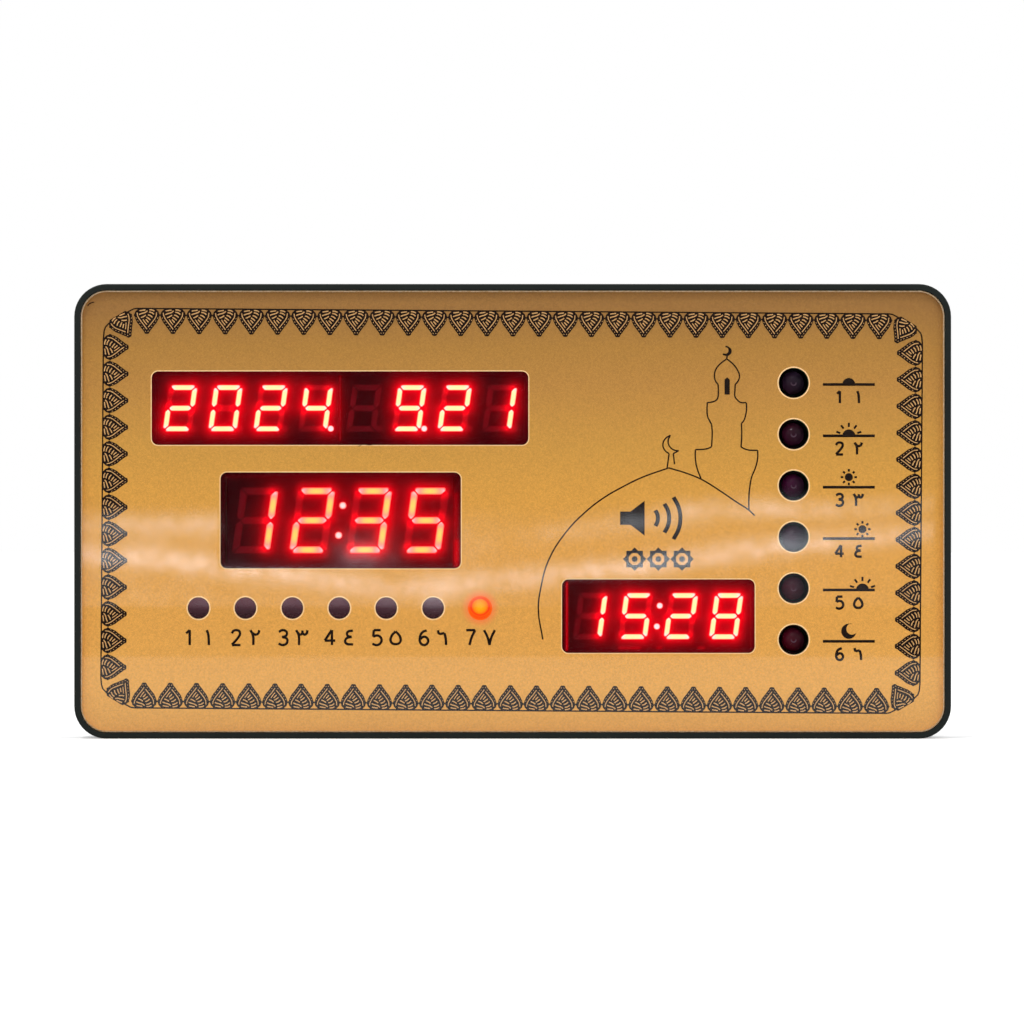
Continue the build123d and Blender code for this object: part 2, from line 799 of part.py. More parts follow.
cone_rim_radius = speaker_radius - speaker_rim - basket_wall - cone_rim_gap
with BuildPart() as speaker_cone:
    with BuildSketch(Plane.XY.offset(sz)):
        Polygon(
            (sx + cone_rim_radius, rim_y - cone_wall),
            (sx + cone_rim_radius - cone_rim_gap, basket_top),
            (sx + cone_small_radius, rim_y - cone_depth),
            (sx, rim_y - cone_depth + cone_wall),
            (sx, rim_y - cone_depth + cone_cap_rise),
            (sx + cone_small_radius, rim_y - cone_depth + cone_wall),
            (sx + cone_rim_radius - cone_rim_gap, rim_y - cone_wall),
            align=None,
        )
    revolve(axis=Axis((sx, 0, sz), (0, 1, 0)))
speaker_cone.part.label = "speaker_cone"
export_step(speaker_cone.part, "parts/speaker_cone.step")

with BuildPart() as speaker_magnet:
    with BuildSketch(facing(basket_end)):
        with Locations(speaker_at):
            Circle(magnet_radius)
    extrude(amount=magnet_height)
    chamfer(speaker_magnet.edges().group_by(Axis.Y)[0], basket_wall)
speaker_magnet.part.label = "speaker_magnet"
export_step(speaker_magnet.part, "parts/speaker_magnet.step")

speaker_screws = screw(speaker_screw_spots, basket_top - joint_gap, speaker_screw, False)
speaker_screws.part.label = "speaker_screws"
export_step(speaker_screws.part, "parts/speaker_screws.step")

# ---- case screws and board screws ----
case_screws = screw(case_screw_spots, back_y - counterbore_depth, case_screw, True)
case_screws.part.label = "case_screws"
export_step(case_screws.part, "parts/case_screws.step")

main_board_screws = screw(board_screw_spots, board_back, board_screw, True)
button_board_screws = screw(
    button_post_spots, button_board_back - board_thickness, board_screw, False
)
board_screws = Compound([*main_board_screws.part.solids(), *button_board_screws.part.solids()])
board_screws.label = "board_screws"
export_step(board_screws, "parts/board_screws.step")

# ---- battery bay: cells, contacts and door ----
bay_right = bay_at[0] + bay_size[0] / 2
bay_left = bay_at[0] - bay_size[0] / 2
nub_reach = contact_size[0] + dimple_height
with BuildPart() as battery_cells:
    for z, way in zip(cell_spots, (1, -1)):
        wall_x = bay_right if way > 0 else bay_left
        tip = wall_x - way * (nub_reach + joint_gap)
        with BuildSketch(Plane.YZ.offset(tip)):
            with Locations((cell_y, z)):
                Circle(nub_radius)
        extrude(amount=-way * nub_length)
        with BuildSketch(Plane.YZ.offset(tip - way * nub_length)):
            with Locations((cell_y, z)):
                Circle(cell_radius)
        extrude(amount=-way * cell_length)
battery_cells.part.label = "battery_cells"
export_step(battery_cells.part, "parts/battery_cells.step")

with BuildPart() as battery_plates:
    for z, way in zip(cell_spots, (1, -1)):
        wall_x = bay_right if way > 0 else bay_left
        face_x = wall_x - way * contact_size[0]
        with BuildSketch(Plane.YZ.offset(wall_x - way * joint_gap)):
            with Locations((cell_y, z)):
                Rectangle(*contact_size[1:])
        extrude(amount=-way * contact_size[0])
        with BuildSketch(Plane.YZ.offset(face_x)):
            with Locations((cell_y, z)):
                Circle(dimple_radius)
        extrude(amount=-way * (dimple_height - joint_gap))
battery_plates.part.label = "battery_plates"
export_step(battery_plates.part, "parts/battery_plates.step")

spring_reach = bay_size[0] - nub_reach - 2 * joint_gap - nub_length - cell_length
strip, half_strip = contact_size[0], contact_size[1] / 2
with BuildPart() as battery_springs:
    for z, way in zip(cell_spots, (-1, 1)):
        wall_x = (bay_right if way > 0 else bay_left) - way * joint_gap
        base_x = wall_x - way * strip
        apex_x = wall_x - way * (spring_reach - 2 * joint_gap)
        with BuildSketch(Plane.XY.offset(z - contact_size[2] / 2)):
            with Locations(((wall_x + base_x) / 2, cell_y)):
                Rectangle(strip, contact_size[1])
            Polygon(
                (base_x, cell_y - half_strip),
                (base_x, cell_y + half_strip),
                (apex_x, cell_y + strip),
                (apex_x, cell_y - strip),
                align=None,
            )
            Polygon(
                (base_x, cell_y - half_strip + 2 * strip),
                (base_x, cell_y + half_strip - 2 * strip),
                (apex_x + 2 * way * strip, cell_y),
                align=None,
                mode=Mode.SUBTRACT,
            )
        extrude(amount=contact_size[2])
battery_springs.part.label = "battery_springs"
export_step(battery_springs.part, "parts/battery_springs.step")

door_length = door_size[0] - hinge_inset - door_play
door_width = door_size[1] - 2 * door_play
with BuildPart() as battery_door:
    with BuildSketch(facing(back_y)):
        with Locations((hinge_x + door_length / 2, bay_at[1])):
            Rectangle(door_length, door_width)
    extrude(amount=door_thickness)
    with BuildSketch(Plane.XY.offset(bay_at[1])):
        with Locations((hinge_x, hinge_y)):
            Circle(hinge_radius)
    extrude(amount=door_width / 2, both=True)
    with BuildSketch(Plane.XY.offset(bay_at[1])):
        with Locations((hinge_x, hinge_y)):
            Circle(hinge_stub_radius)
    extrude(amount=door_width / 2 + hinge_stub_length, both=True)
    # thumb grip: fine grooves across the free end
    with BuildSketch(facing(back_y)):
        for n in range(door_ridges):
            groove_x = hinge_x + door_length - (n + 2) * door_ridge_pitch
            with Locations((groove_x, bay_at[1])):
                Rectangle(*door_ridge[:2])
    extrude(amount=door_ridge[2], mode=Mode.SUBTRACT)
battery_door.part.label = "battery_door"
export_step(battery_door.part, "parts/battery_door.step")

# ---- supply socket on the main board ----
socket_front = cover_inside - socket_set_back
with BuildPart() as dc_socket_body:
    with BuildSketch(facing(socket_front)):
        with Locations(socket_at):
            Rectangle(*socket_size)
    extrude(amount=socket_front - board_back)
    with BuildSketch(facing(socket_front)):
        with Locations(socket_at):
            Circle(socket_bore)
    extrude(amount=socket_bore_depth, mode=Mode.SUBTRACT)
dc_socket_body.part.label = "dc_socket_body"
export_step(dc_socket_body.part, "parts/dc_socket_body.step")

with BuildPart() as dc_socket_pin:
    with BuildSketch(facing(socket_front - socket_bore_depth + socket_pin_length)):
        with Locations(socket_at):
            Circle(socket_pin_radius)
    extrude(amount=socket_pin_length)
    fillet(dc_socket_pin.edges().group_by(Axis.Y)[-1], socket_pin_radius / 2)
dc_socket_pin.part.label = "dc_socket_pin"
export_step(dc_socket_pin.part, "parts/dc_socket_pin.step")

# ---- setting buttons, their switches and the board that carries them ----
button_board_front = button_board_back - board_thickness
with BuildPart() as button_board:
    with BuildSketch(facing(button_board_back)):
        with Locations((0, button_z)):
            Rectangle(*button_board_size)
        with Locations(*button_post_spots):
            Circle(board_screw["shank"] + screw_play, mode=Mode.SUBTRACT)
    extrude(amount=board_thickness)
button_board.part.label = "button_board"
export_step(button_board.part, "parts/button_board.step")

switch_top = button_board_back + switch_height
plunger_top = switch_top + plunger_proud
with BuildPart() as switch_bodies:
    with BuildSketch(facing(switch_top)):
        with Locations(*button_spots):
            Rectangle(switch_side, switch_side)
    extrude(amount=switch_height)
    with BuildSketch(facing(switch_top)):
        with Locations(*button_spots):
            Circle(plunger_radius + plunger_play)
    extrude(amount=plunger_inside + plunger_room, mode=Mode.SUBTRACT)
switch_bodies.part.label = "switch_bodies"
export_step(switch_bodies.part, "parts/switch_bodies.step")

dish_inside = cover_inside - (dish_depth - wall + pocket_wall)
collar_y = dish_inside - joint_gap * 2
for name, (x, z) in zip(button_names, button_spots):
    with BuildPart() as button:
        with BuildSketch(facing(dish_floor + button_proud)):
            with Locations((x, z)):
                Circle(button_radius)
        extrude(amount=dish_floor + button_proud - plunger_top)
        fillet(button.edges().group_by(Axis.Y)[-1], button_round)
        with BuildSketch(facing(collar_y)):
            with Locations((x, z)):
                Circle(button_collar_radius)
        extrude(amount=button_collar_thickness)
    button.part.label = name
    export_step(button.part, f"parts/{name}.step")

    with BuildPart() as plunger:
        with BuildSketch(facing(plunger_top)):
            with Locations((x, z)):
                Circle(plunger_radius)
        extrude(amount=plunger_proud + plunger_inside)
    plunger_name = name.replace("button", "plunger")
    plunger.part.label = plunger_name
    export_step(plunger.part, f"parts/{plunger_name}.step")

# ---- prop leg and its pin ----
leg_top = leg_pivot_z + leg_heel
with BuildPart() as prop_leg:
    with BuildSketch(facing(leg_face_y)):
        with Locations((0, (leg_foot_z + leg_top) / 2)):
            Rectangle(leg_width, leg_top - leg_foot_z)
    extrude(amount=leg_thickness)
    fillet(
        prop_leg.edges().filter_by(Axis.Y).group_by(Axis.Z)[0],
        leg_foot_radius,
    )
    with BuildSketch(Plane.YZ):
        with Locations((leg_pivot_y, leg_pivot_z)):
            Circle(leg_barrel_radius)
    extrude(amount=leg_width / 2, both=True)
    with BuildSketch(Plane.YZ):
        with Locations((leg_pivot_y, leg_pivot_z)):
            Circle(leg_pin_radius + leg_pin_play)
    extrude(amount=leg_width, both=True, mode=Mode.SUBTRACT)
    # hollow in the outer face, above the foot
    with BuildSketch(facing(leg_face_y)):
        with Locations((0, (leg_foot_z + leg_pivot_z) / 2)):
            RectangleRounded(*leg_window, leg_window_depth)
    extrude(amount=leg_window_depth, mode=Mode.SUBTRACT)
prop_leg.part.label = "prop_leg"
export_step(prop_leg.part, "parts/prop_leg.step")

with BuildPart() as prop_leg_pin:
    with BuildSketch(Plane.YZ):
        with Locations((leg_pivot_y, leg_pivot_z)):
            Circle(leg_pin_radius)
    extrude(amount=leg_pocket_width / 2 + leg_pin_reach, both=True)
prop_leg_pin.part.label = "prop_leg_pin"
export_step(prop_leg_pin.part, "parts/prop_leg_pin.step")

# ---- leads: speaker and battery leads, and the cable of the button board ----
plug_top = board_back + connector_size[2]
tag_y = basket_top - speaker_tag[2]
plug_x, plug_z = connectors["speaker"]
speaker_leads = lead_pair(
    [
        (plug_x, plug_top, plug_z),
        (plug_x, speaker_lead_y, plug_z),
        (tag_x, speaker_lead_y, sz),
        (tag_x, tag_y, sz),
    ]
)
plug_x, plug_z = connectors["battery"]
battery_leads = lead_pair(
    [
        (plug_x, plug_top, plug_z),
        (plug_x, battery_lead_y, plug_z),
        (battery_lead_corner_x, battery_lead_y, bay_at[1]),
        (bay_right + bay_wall, battery_lead_y, bay_at[1]),
    ]
)
inner_leads = Compound([*speaker_leads, *battery_leads])
inner_leads.label = "inner_leads"
export_step(inner_leads, "parts/inner_leads.step")

plug_x, plug_z = connectors["buttons"]
foot_z = button_z - button_board_size[1] / 2 + cable_foot
half_cable = cable_thickness / 2
with BuildPart() as button_cable:
    with BuildSketch(Plane.YZ.offset(plug_x)):
        with BuildLine():
            Polyline(
                (plug_top, plug_z - half_cable),
                (plug_top, plug_z + half_cable),
                (cable_top - cable_thickness, plug_z + half_cable),
                (cable_top - cable_thickness, foot_z - half_cable),
                (button_board_back, foot_z - half_cable),
                (button_board_back, foot_z + half_cable),
                (cable_top, foot_z + half_cable),
                (cable_top, plug_z - half_cable),
                close=True,
            )
        make_face()
    extrude(amount=cable_width / 2, both=True)
    fillet(button_cable.edges().filter_by(Axis.X).group_by(Axis.Y)[-1], cable_thickness)
button_cable.part.label = "button_cable"
export_step(button_cable.part, "parts/button_cable.step")
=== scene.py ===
from math import cos, exp, hypot, pi, radians, sin, tan

import bmesh
import bpy
from mathutils import Matrix, Vector


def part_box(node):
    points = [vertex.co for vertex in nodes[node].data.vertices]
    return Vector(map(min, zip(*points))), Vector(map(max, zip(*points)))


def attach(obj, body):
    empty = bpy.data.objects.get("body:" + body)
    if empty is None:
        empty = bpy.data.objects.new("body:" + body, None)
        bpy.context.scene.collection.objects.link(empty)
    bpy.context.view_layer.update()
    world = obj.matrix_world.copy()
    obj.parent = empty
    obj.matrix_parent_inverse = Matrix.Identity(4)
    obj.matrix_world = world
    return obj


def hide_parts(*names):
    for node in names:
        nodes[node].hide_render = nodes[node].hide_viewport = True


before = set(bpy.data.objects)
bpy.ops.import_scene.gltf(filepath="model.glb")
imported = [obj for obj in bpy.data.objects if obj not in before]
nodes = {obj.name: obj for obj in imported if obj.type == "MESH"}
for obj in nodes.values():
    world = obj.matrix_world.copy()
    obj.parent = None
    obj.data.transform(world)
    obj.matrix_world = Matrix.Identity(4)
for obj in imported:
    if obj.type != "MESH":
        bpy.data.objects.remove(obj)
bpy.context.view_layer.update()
mm = 0.001  # sizes below are in millimetres, the scene is in metres
upright = Matrix.Rotation(radians(90), 4, "X")  # a shape drawn flat stands up and faces the front
print("frame loaded,", len(nodes), "CAD nodes")


def linear(hexColour):
    parts = [int(hexColour[n:n + 2], 16) / 255 for n in (1, 3, 5)]
    return [p / 12.92 if p <= 0.04045 else ((p + 0.055) / 1.055) ** 2.4 for p in parts] + [1.0]


def addNode(tree, kind, inputs=(), **settings):
    # an input takes a number, a colour as text, or the node or socket that feeds it
    node = tree.nodes.new("ShaderNode" + kind)
    for key, value in settings.items():
        setattr(node, key, value)
    for key, value in dict(inputs).items():
        if isinstance(value, bpy.types.Node):
            value = value.outputs[0]
        if isinstance(value, bpy.types.NodeSocket):
            tree.links.new(value, node.inputs[key])
        else:
            node.inputs[key].default_value = linear(value) if isinstance(value, str) else value
    return node


def place(tree, axis=None):
    # object coordinates, or one of them
    point = addNode(tree, "TexCoord").outputs["Object"]
    return addNode(tree, "SeparateXYZ", {0: point}).outputs[axis] if axis else point


def attribute(tree, name):
    return addNode(tree, "Attribute", attribute_name=name).outputs["Fac"]


noiseRange, fineRange = (0.3, 0.7), (0.35, 0.65)  # where nearly all, and most, of a noise's values lie


def noise(tree, size, detail=2.0):
    return addNode(tree, "TexNoise", {"Vector": place(tree), "Scale": 1 / (size * mm), "Detail": detail})


def maths(tree, operation, *values):
    return addNode(tree, "Math", dict(enumerate(values)), operation=operation)


def remap(tree, value, low, high, toLow=0.0, toHigh=1.0, **settings):
    inputs = {"Value": value, "From Min": low, "From Max": high, "To Min": toLow, "To Max": toHigh}
    return addNode(tree, "MapRange", inputs, **settings)


def ramp(tree, value, shares, colours):
    node = addNode(tree, "ValToRGB", {"Fac": value})
    elements = node.color_ramp.elements
    elements[0].position, elements[-1].position = shares[0], shares[-1]
    for share in shares[1:-1]:
        elements.new(share)
    for element, colour in zip(elements, colours):
        element.color = linear(colour)
    return node


def mix(tree, share, first, second):
    return addNode(tree, "Mix", {0: share, 6: first, 7: second}, data_type="RGBA").outputs[2]


def bump(tree, height, strength, distance):
    return addNode(tree, "Bump", {"Height": height, "Strength": strength, "Distance": distance * mm})


def principled(tree, colour, roughness, specular=0.5, **more):
    inputs = {"Base Color": colour, "Roughness": roughness, "Specular IOR Level": specular, **more}
    return addNode(tree, "BsdfPrincipled", inputs)


def glowing(tree, shader, colour, strength):
    light = addNode(tree, "Emission", {"Color": colour, "Strength": strength})
    return addNode(tree, "AddShader", {0: shader, 1: light})


def newMaterial(name, recipe, *values):
    # the recipe gives the node that goes to the surface
    material = bpy.data.materials.new(name)
    material.use_nodes = True
    tree = material.node_tree
    tree.nodes.clear()
    addNode(tree, "OutputMaterial", {"Surface": recipe(tree, *values)})
    return material


def dress(material, *names):
    for name in names:
        nodes[name].data.materials.clear()
        nodes[name].data.materials.append(material)


def newObject(name, bm, material):
    mesh = bpy.data.meshes.new(name)
    bm.to_mesh(mesh)
    bm.free()
    mesh.materials.append(material)
    made = bpy.data.objects.new(name, mesh)
    bpy.context.scene.collection.objects.link(made)
    return made


def newPiece(name, bm, material, body):
    bmesh.ops.recalc_face_normals(bm, faces=bm.faces)
    piece = newObject(name, bm, material)
    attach(piece, body)
    return piece


def standing(at):
    return Matrix.Translation([n * mm for n in at]) @ upright


def uprightGrid(bm, at, size, columns=1, rows=1):
    made = bmesh.ops.create_grid(bm, x_segments=columns, y_segments=rows, size=0.5)["verts"]
    bmesh.ops.scale(bm, vec=(size[0] * mm, size[1] * mm, 1), verts=made)
    bmesh.ops.transform(bm, matrix=standing(at), verts=made)
    return made


def uprightDisc(bm, at, radius, segments=48):
    disc = bmesh.ops.create_circle(bm, cap_ends=True, segments=segments, radius=radius * mm,
                                   matrix=standing(at))
    return disc["verts"]


def roundCorners(bm, verts, radius, segments):
    bmesh.ops.bevel(bm, geom=verts, offset=radius * mm, segments=segments, profile=0.5, affect="VERTICES",
                    material=-1)


def moveBack(bm, verts, far):
    bmesh.ops.translate(bm, verts=verts, vec=(0, far * mm, 0))


def only(geometry, kind):
    return [g for g in geometry if isinstance(g, kind)]


def middle(box):
    return (box[0].x + box[1].x) / 2 / mm, (box[0].z + box[1].z) / 2 / mm


def arc(x, z, radius, start, end, step):
    turns = range(start, end + (1 if step > 0 else -1), step)
    return [(x + radius * cos(radians(a)), z + radius * sin(radians(a))) for a in turns]


# camera: a long lens, square to the face
cameraSetup = {
    "distance": 2600,
    "viewWidth": 315.3,  # width of the view at the face
    "aim": (-0.2, 69.8),
}
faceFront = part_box("clear_front_sheet")[0].y
cameraData = bpy.data.cameras.new("longLens")
cameraData.lens = cameraData.sensor_width * cameraSetup["distance"] / cameraSetup["viewWidth"]
cameraData.clip_end = 100
camera = bpy.data.objects.new("longLens", cameraData)
aimX, aimZ = cameraSetup["aim"]
camera.location = (aimX * mm, faceFront - cameraSetup["distance"] * mm, aimZ * mm)
camera.rotation_euler = (radians(90), 0, 0)
bpy.context.scene.collection.objects.link(camera)
bpy.context.scene.camera = camera

# plain finishes: one recipe of fine grain, broad mottle and relief
# shades: from, to; roughness: from, to; grain and relief in millimetres
finishes = {
    # ABS, moulded in a spark-eroded tool: dark, even, with a fine dull grain
    "caseAbsSparkTextured": {
        "shades": ("#0b100d", "#161c19"), "roughness": (0.45, 0.62), "grain": 0.45, "relief": 0.02,
        "specular": 0.2,
        "nodes": ("front_frame", "rear_cover", "battery_door", "prop_leg"),
    },
    # ABS, moulded in a blasted tool: mid grey caps, softly shining where fingers press
    "buttonAbsBlasted": {
        "shades": ("#85898a", "#9a9e9e"), "roughness": (0.35, 0.5), "grain": 0.3, "relief": 0.008,
        "nodes": [n for n in nodes if n.endswith("_button")],
    },
    # acetal, moulded: black plungers and switch shells with a waxy look
    "switchAcetalMoulded": {
        "shades": ("#0c0c0d", "#17171a"), "roughness": (0.3, 0.42), "grain": 0.5, "relief": 0.004,
        "nodes": [n for n in nodes if n.endswith("_plunger")] + ["switch_bodies", "dc_socket_body"],
    },
    # epoxy, transfer moulded: the dull grey-black of a chip
    "chipEpoxyMoulded": {
        "shades": ("#1a1a1b", "#2a2a2c"), "roughness": (0.6, 0.78), "grain": 0.12, "relief": 0.01,
        "nodes": ("board_chips",),
    },
    # PET sleeve, heat shrunk over a can: smooth dark blue
    "capacitorSleeveShrunk": {
        "shades": ("#10182f", "#18223f"), "roughness": (0.22, 0.32), "grain": 1.5, "relief": 0.01,
        "nodes": ("capacitors",),
    },
    # nylon, moulded, not dyed: milky white
    "connectorNylonMoulded": {
        "shades": ("#d8d2c0", "#e6e1d1"), "roughness": (0.35, 0.5), "grain": 0.6, "relief": 0.005,
        "nodes": ("board_connectors",),
    },
    # brass and steel, tinned: soft silver with a faint frost
    "contactMetalTinned": {
        "shades": ("#b9b5aa", "#d6d3ca"), "roughness": (0.22, 0.4), "grain": 0.25, "relief": 0.004,
        "metallic": 1.0,
        "nodes": ("solder_pins", "dc_socket_pin", "battery_plates", "battery_springs"),
    },
    # steel, zinc plated and passivated: bluish grey, slightly cloudy
    "screwSteelZincPlated": {
        "shades": ("#9aa0a6", "#c2c6c8"), "roughness": (0.25, 0.42), "grain": 0.5, "relief": 0.004,
        "metallic": 1.0,
        "nodes": ("case_screws", "board_screws", "speaker_screws", "prop_leg_pin", "speaker_basket"),
    },
    # ferrite, sintered and ground: charcoal with open pores
    "magnetFerriteSintered": {
        "shades": ("#26272a", "#3b3c40"), "roughness": (0.55, 0.75), "grain": 0.35, "relief": 0.03,
        "nodes": ("speaker_magnet",),
    },
    # paper pulp, pressed and lacquered: black with a felted nap
    "conePaperPressed": {
        "shades": ("#0b0b0c", "#1d1c1c"), "roughness": (0.7, 0.9), "grain": 0.6, "relief": 0.05,
        "nodes": ("speaker_cone",),
    },
    # PVC, extruded on wire: smooth red
    "leadPvcExtruded": {
        "shades": ("#7c1210", "#95201a"), "roughness": (0.3, 0.42), "grain": 0.8, "relief": 0.006,
        "nodes": ("inner_leads",),
    },
}
# grain and clouds together make the tone: size of the clouds, and both shares
mottle = {"cloud": 22, "fine": 0.45, "broad": 0.55}


def grainyFinish(tree, finish):
    fine = noise(tree, finish["grain"], 3.0)
    broad = maths(tree, "MULTIPLY", noise(tree, mottle["cloud"]), mottle["broad"])
    both = maths(tree, "MULTIPLY_ADD", fine, mottle["fine"], broad)
    tone = ramp(tree, both, noiseRange, finish["shades"])
    gloss = remap(tree, both, *noiseRange, *finish["roughness"])
    return principled(tree, tone, gloss, finish.get("specular", 0.5), Metallic=finish.get("metallic", 0.0),
                      Normal=bump(tree, fine, 1.0, finish["relief"]))


for finishName, finish in finishes.items():
    dress(newMaterial(finishName, grainyFinish, finish), *finish["nodes"])
print("plain finishes made:", len(finishes))

# gold face film: metallic gold ink, screen printed on polyester film: satin, with a fine flake grain;
# its tones carry painted shade: browner at its top edge and lighter towards the foot
goldPrintAndShade = {
    "height": 140,
    # the tones up the height are painted shade, darker and browner towards the top
    "shares": (0.03, 0.14, 0.26, 0.44, 0.56, 0.66, 0.8, 0.88, 0.97),  # of the height
    "tones": ("#d69b45", "#e3a750", "#dfa148", "#dc9e43", "#d69b3f", "#ca943d", "#b8843a", "#ae7d34",
              "#9a6d33"),
    "cloud": 30, "sway": 6,  # size of the clouds, and how far they shift the tones
    "flake": 0.5, "flakeRange": (0.25, 0.75), "flakeShade": (0.86, 1.14), "relief": 0.004,
    # the lit day lamp shines sideways into the film round it
    "lampGlow": {"colour": "#ff3a12", "tint": "#ea8440", "from": 3.2, "to": 6.4, "strength": 0.09},
    "metallic": 0.3,
    "roughness": 0.42,
}


def shadedGoldInk(tree):
    cloud = noise(tree, goldPrintAndShade["cloud"])
    sway = maths(tree, "MULTIPLY_ADD", cloud, goldPrintAndShade["sway"] * mm, place(tree, "Z"))
    share = maths(tree, "DIVIDE", sway, goldPrintAndShade["height"] * mm)
    # painted shade: the tone darkens and browns towards the top of the film
    tone = ramp(tree, share, goldPrintAndShade["shares"], goldPrintAndShade["tones"])
    flake = noise(tree, goldPrintAndShade["flake"], 4.0)
    lift = remap(tree, flake, *goldPrintAndShade["flakeRange"], *goldPrintAndShade["flakeShade"])
    grained = addNode(tree, "HueSaturation", {"Value": lift, "Color": tone})
    glow = goldPrintAndShade["lampGlow"]
    centre = (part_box("weekday_lamp_7")[0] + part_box("weekday_lamp_7")[1]) / 2
    lamp = addNode(tree, "Mapping", {
        "Vector": place(tree), "Location": (-centre.x, 0, -centre.z), "Scale": (1, 0, 1),
    })
    away = addNode(tree, "VectorMath", {0: lamp}, operation="LENGTH").outputs["Value"]
    reached = remap(tree, away, glow["from"] * mm, glow["to"] * mm, 1.0, 0.0, interpolation_type="SMOOTHSTEP")
    shader = principled(tree, mix(tree, reached, grained, glow["tint"]), goldPrintAndShade["roughness"],
                        Metallic=goldPrintAndShade["metallic"], Normal=bump(tree, flake, 0.5, goldPrintAndShade["relief"]))
    return glowing(tree, shader, glow["colour"], maths(tree, "MULTIPLY", reached, glow["strength"]))


dress(newMaterial("screenPrintedGoldPaintedShade", shadedGoldInk), "gold_face_film")

# clear front sheet: acrylic, extruded and saw cut: clear and glossy on its faces, frosted and creamy
# on its cut edges
clearSheet = {
    "edgeShades": ("#e2bd8c", "#ffe6c4"), "edgeAlpha": 0.85, "edgeRoughness": 0.5, "sawGrain": 0.6,
    "edgeFrom": 0.95,  # share of the normal towards the front under which a face is a cut edge
    "haze": (0.012, 0.022), "wipe": 35,  # roughness of the faces, and size of its clouds
    "mirror": 0.04,  # share of light that a face gives back, seen squarely
}


def clearAcrylic(tree):
    normal = addNode(tree, "NewGeometry").outputs["True Normal"]
    facing = maths(tree, "ABSOLUTE", addNode(tree, "SeparateXYZ", {0: normal}).outputs["Y"])
    isEdge = maths(tree, "LESS_THAN", facing, clearSheet["edgeFrom"])
    sawn = ramp(tree, noise(tree, clearSheet["sawGrain"]), fineRange, clearSheet["edgeShades"])
    edge = principled(tree, sawn, clearSheet["edgeRoughness"], Alpha=clearSheet["edgeAlpha"])
    haze = remap(tree, noise(tree, clearSheet["wipe"], 3.0), *noiseRange, *clearSheet["haze"])
    gloss = addNode(tree, "BsdfGlossy", {"Color": "#ffffff", "Roughness": haze})
    steep = maths(tree, "POWER", addNode(tree, "LayerWeight", {"Blend": 0.5}).outputs["Facing"], 5.0)
    mirror = maths(tree, "MULTIPLY_ADD", steep, 1 - clearSheet["mirror"], clearSheet["mirror"])
    # room light goes straight through to the print behind
    path = addNode(tree, "LightPath").outputs
    through = maths(tree, "MAXIMUM", path["Is Shadow Ray"], path["Is Diffuse Ray"])
    shine = maths(tree, "MULTIPLY", mirror, maths(tree, "SUBTRACT", 1.0, through))
    face = addNode(tree, "MixShader", {0: shine, 1: addNode(tree, "BsdfTransparent"), 2: gloss})
    return addNode(tree, "MixShader", {0: isEdge, 1: face, 2: edge})


dress(newMaterial("acrylicSheetCut", clearAcrylic), "clear_front_sheet")

# print on the film: every line is a thin raised layer of ink
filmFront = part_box("gold_face_film")[0].y / mm
darkInk = {"level": 0.03, "thick": 0.04}
paleInk = {"level": 0.09, "thick": 0.03}


def dryInk(tree, *shades):
    # screen ink, air dried: dense and flat, a little uneven where the mesh let it through
    return principled(tree, ramp(tree, noise(tree, 0.4), fineRange, shades), 0.6, 0.12)


def inked(strokes, halfWidth=0.0, closed=False, bend=True, ink=darkInk, fineness=4):
    # a mesh of rows of points: lines of this half width, or without one the shapes that they close
    drawing = bpy.data.curves.new("drawing", "CURVE")
    drawing.dimensions = "2D"
    drawing.fill_mode = "NONE" if halfWidth else "BOTH"
    drawing.resolution_u = fineness
    for points in strokes:
        spline = drawing.splines.new("BEZIER")
        spline.bezier_points.add(len(points) - 1)
        spline.use_cyclic_u = closed
        for knot, (x, z) in zip(spline.bezier_points, points):
            knot.co = (x * mm, z * mm, 0)
            knot.handle_left_type = knot.handle_right_type = "AUTO" if bend else "VECTOR"
    squash = 1.0
    if halfWidth:
        drawing.bevel_depth = halfWidth * mm
        drawing.bevel_resolution = 0
        drawing.use_fill_caps = True
        squash = ink["thick"] / 2 / halfWidth
    else:
        drawing.extrude = ink["thick"] / 2 * mm
    shape = bpy.data.objects.new("drawing", drawing)
    mesh = bpy.data.meshes.new_from_object(shape)
    bpy.data.objects.remove(shape)
    level = Matrix.Translation((0, (filmFront - ink["level"]) * mm, 0))
    mesh.transform(level @ upright @ Matrix.Diagonal((1, 1, squash, 1)))
    return mesh


def solid(outline, bend=False):
    return inked([outline], closed=True, bend=bend)


def addAt(bm, mesh, x=0.0, z=0.0, turn=0.0, hand=1):
    # hand -1 mirrors the shape before it is turned
    placed = mesh.copy()
    placed.transform(Matrix.Translation((x * mm, 0, z * mm)) @ Matrix.Rotation(-radians(turn), 4, "Y")
                     @ Matrix.Diagonal((hand, 1, 1, 1)))
    bm.from_mesh(placed)
    bpy.data.meshes.remove(placed)


darkBrown = newMaterial("darkInkScreenPrinted", dryInk, "#120905", "#22140b")
paleGold = newMaterial("paleInkScreenPrinted", dryInk, "#c4935a", "#dbae74")
creamEdge = newMaterial("filmEdgeCut", dryInk, "#e9bd80", "#f7d3a0")

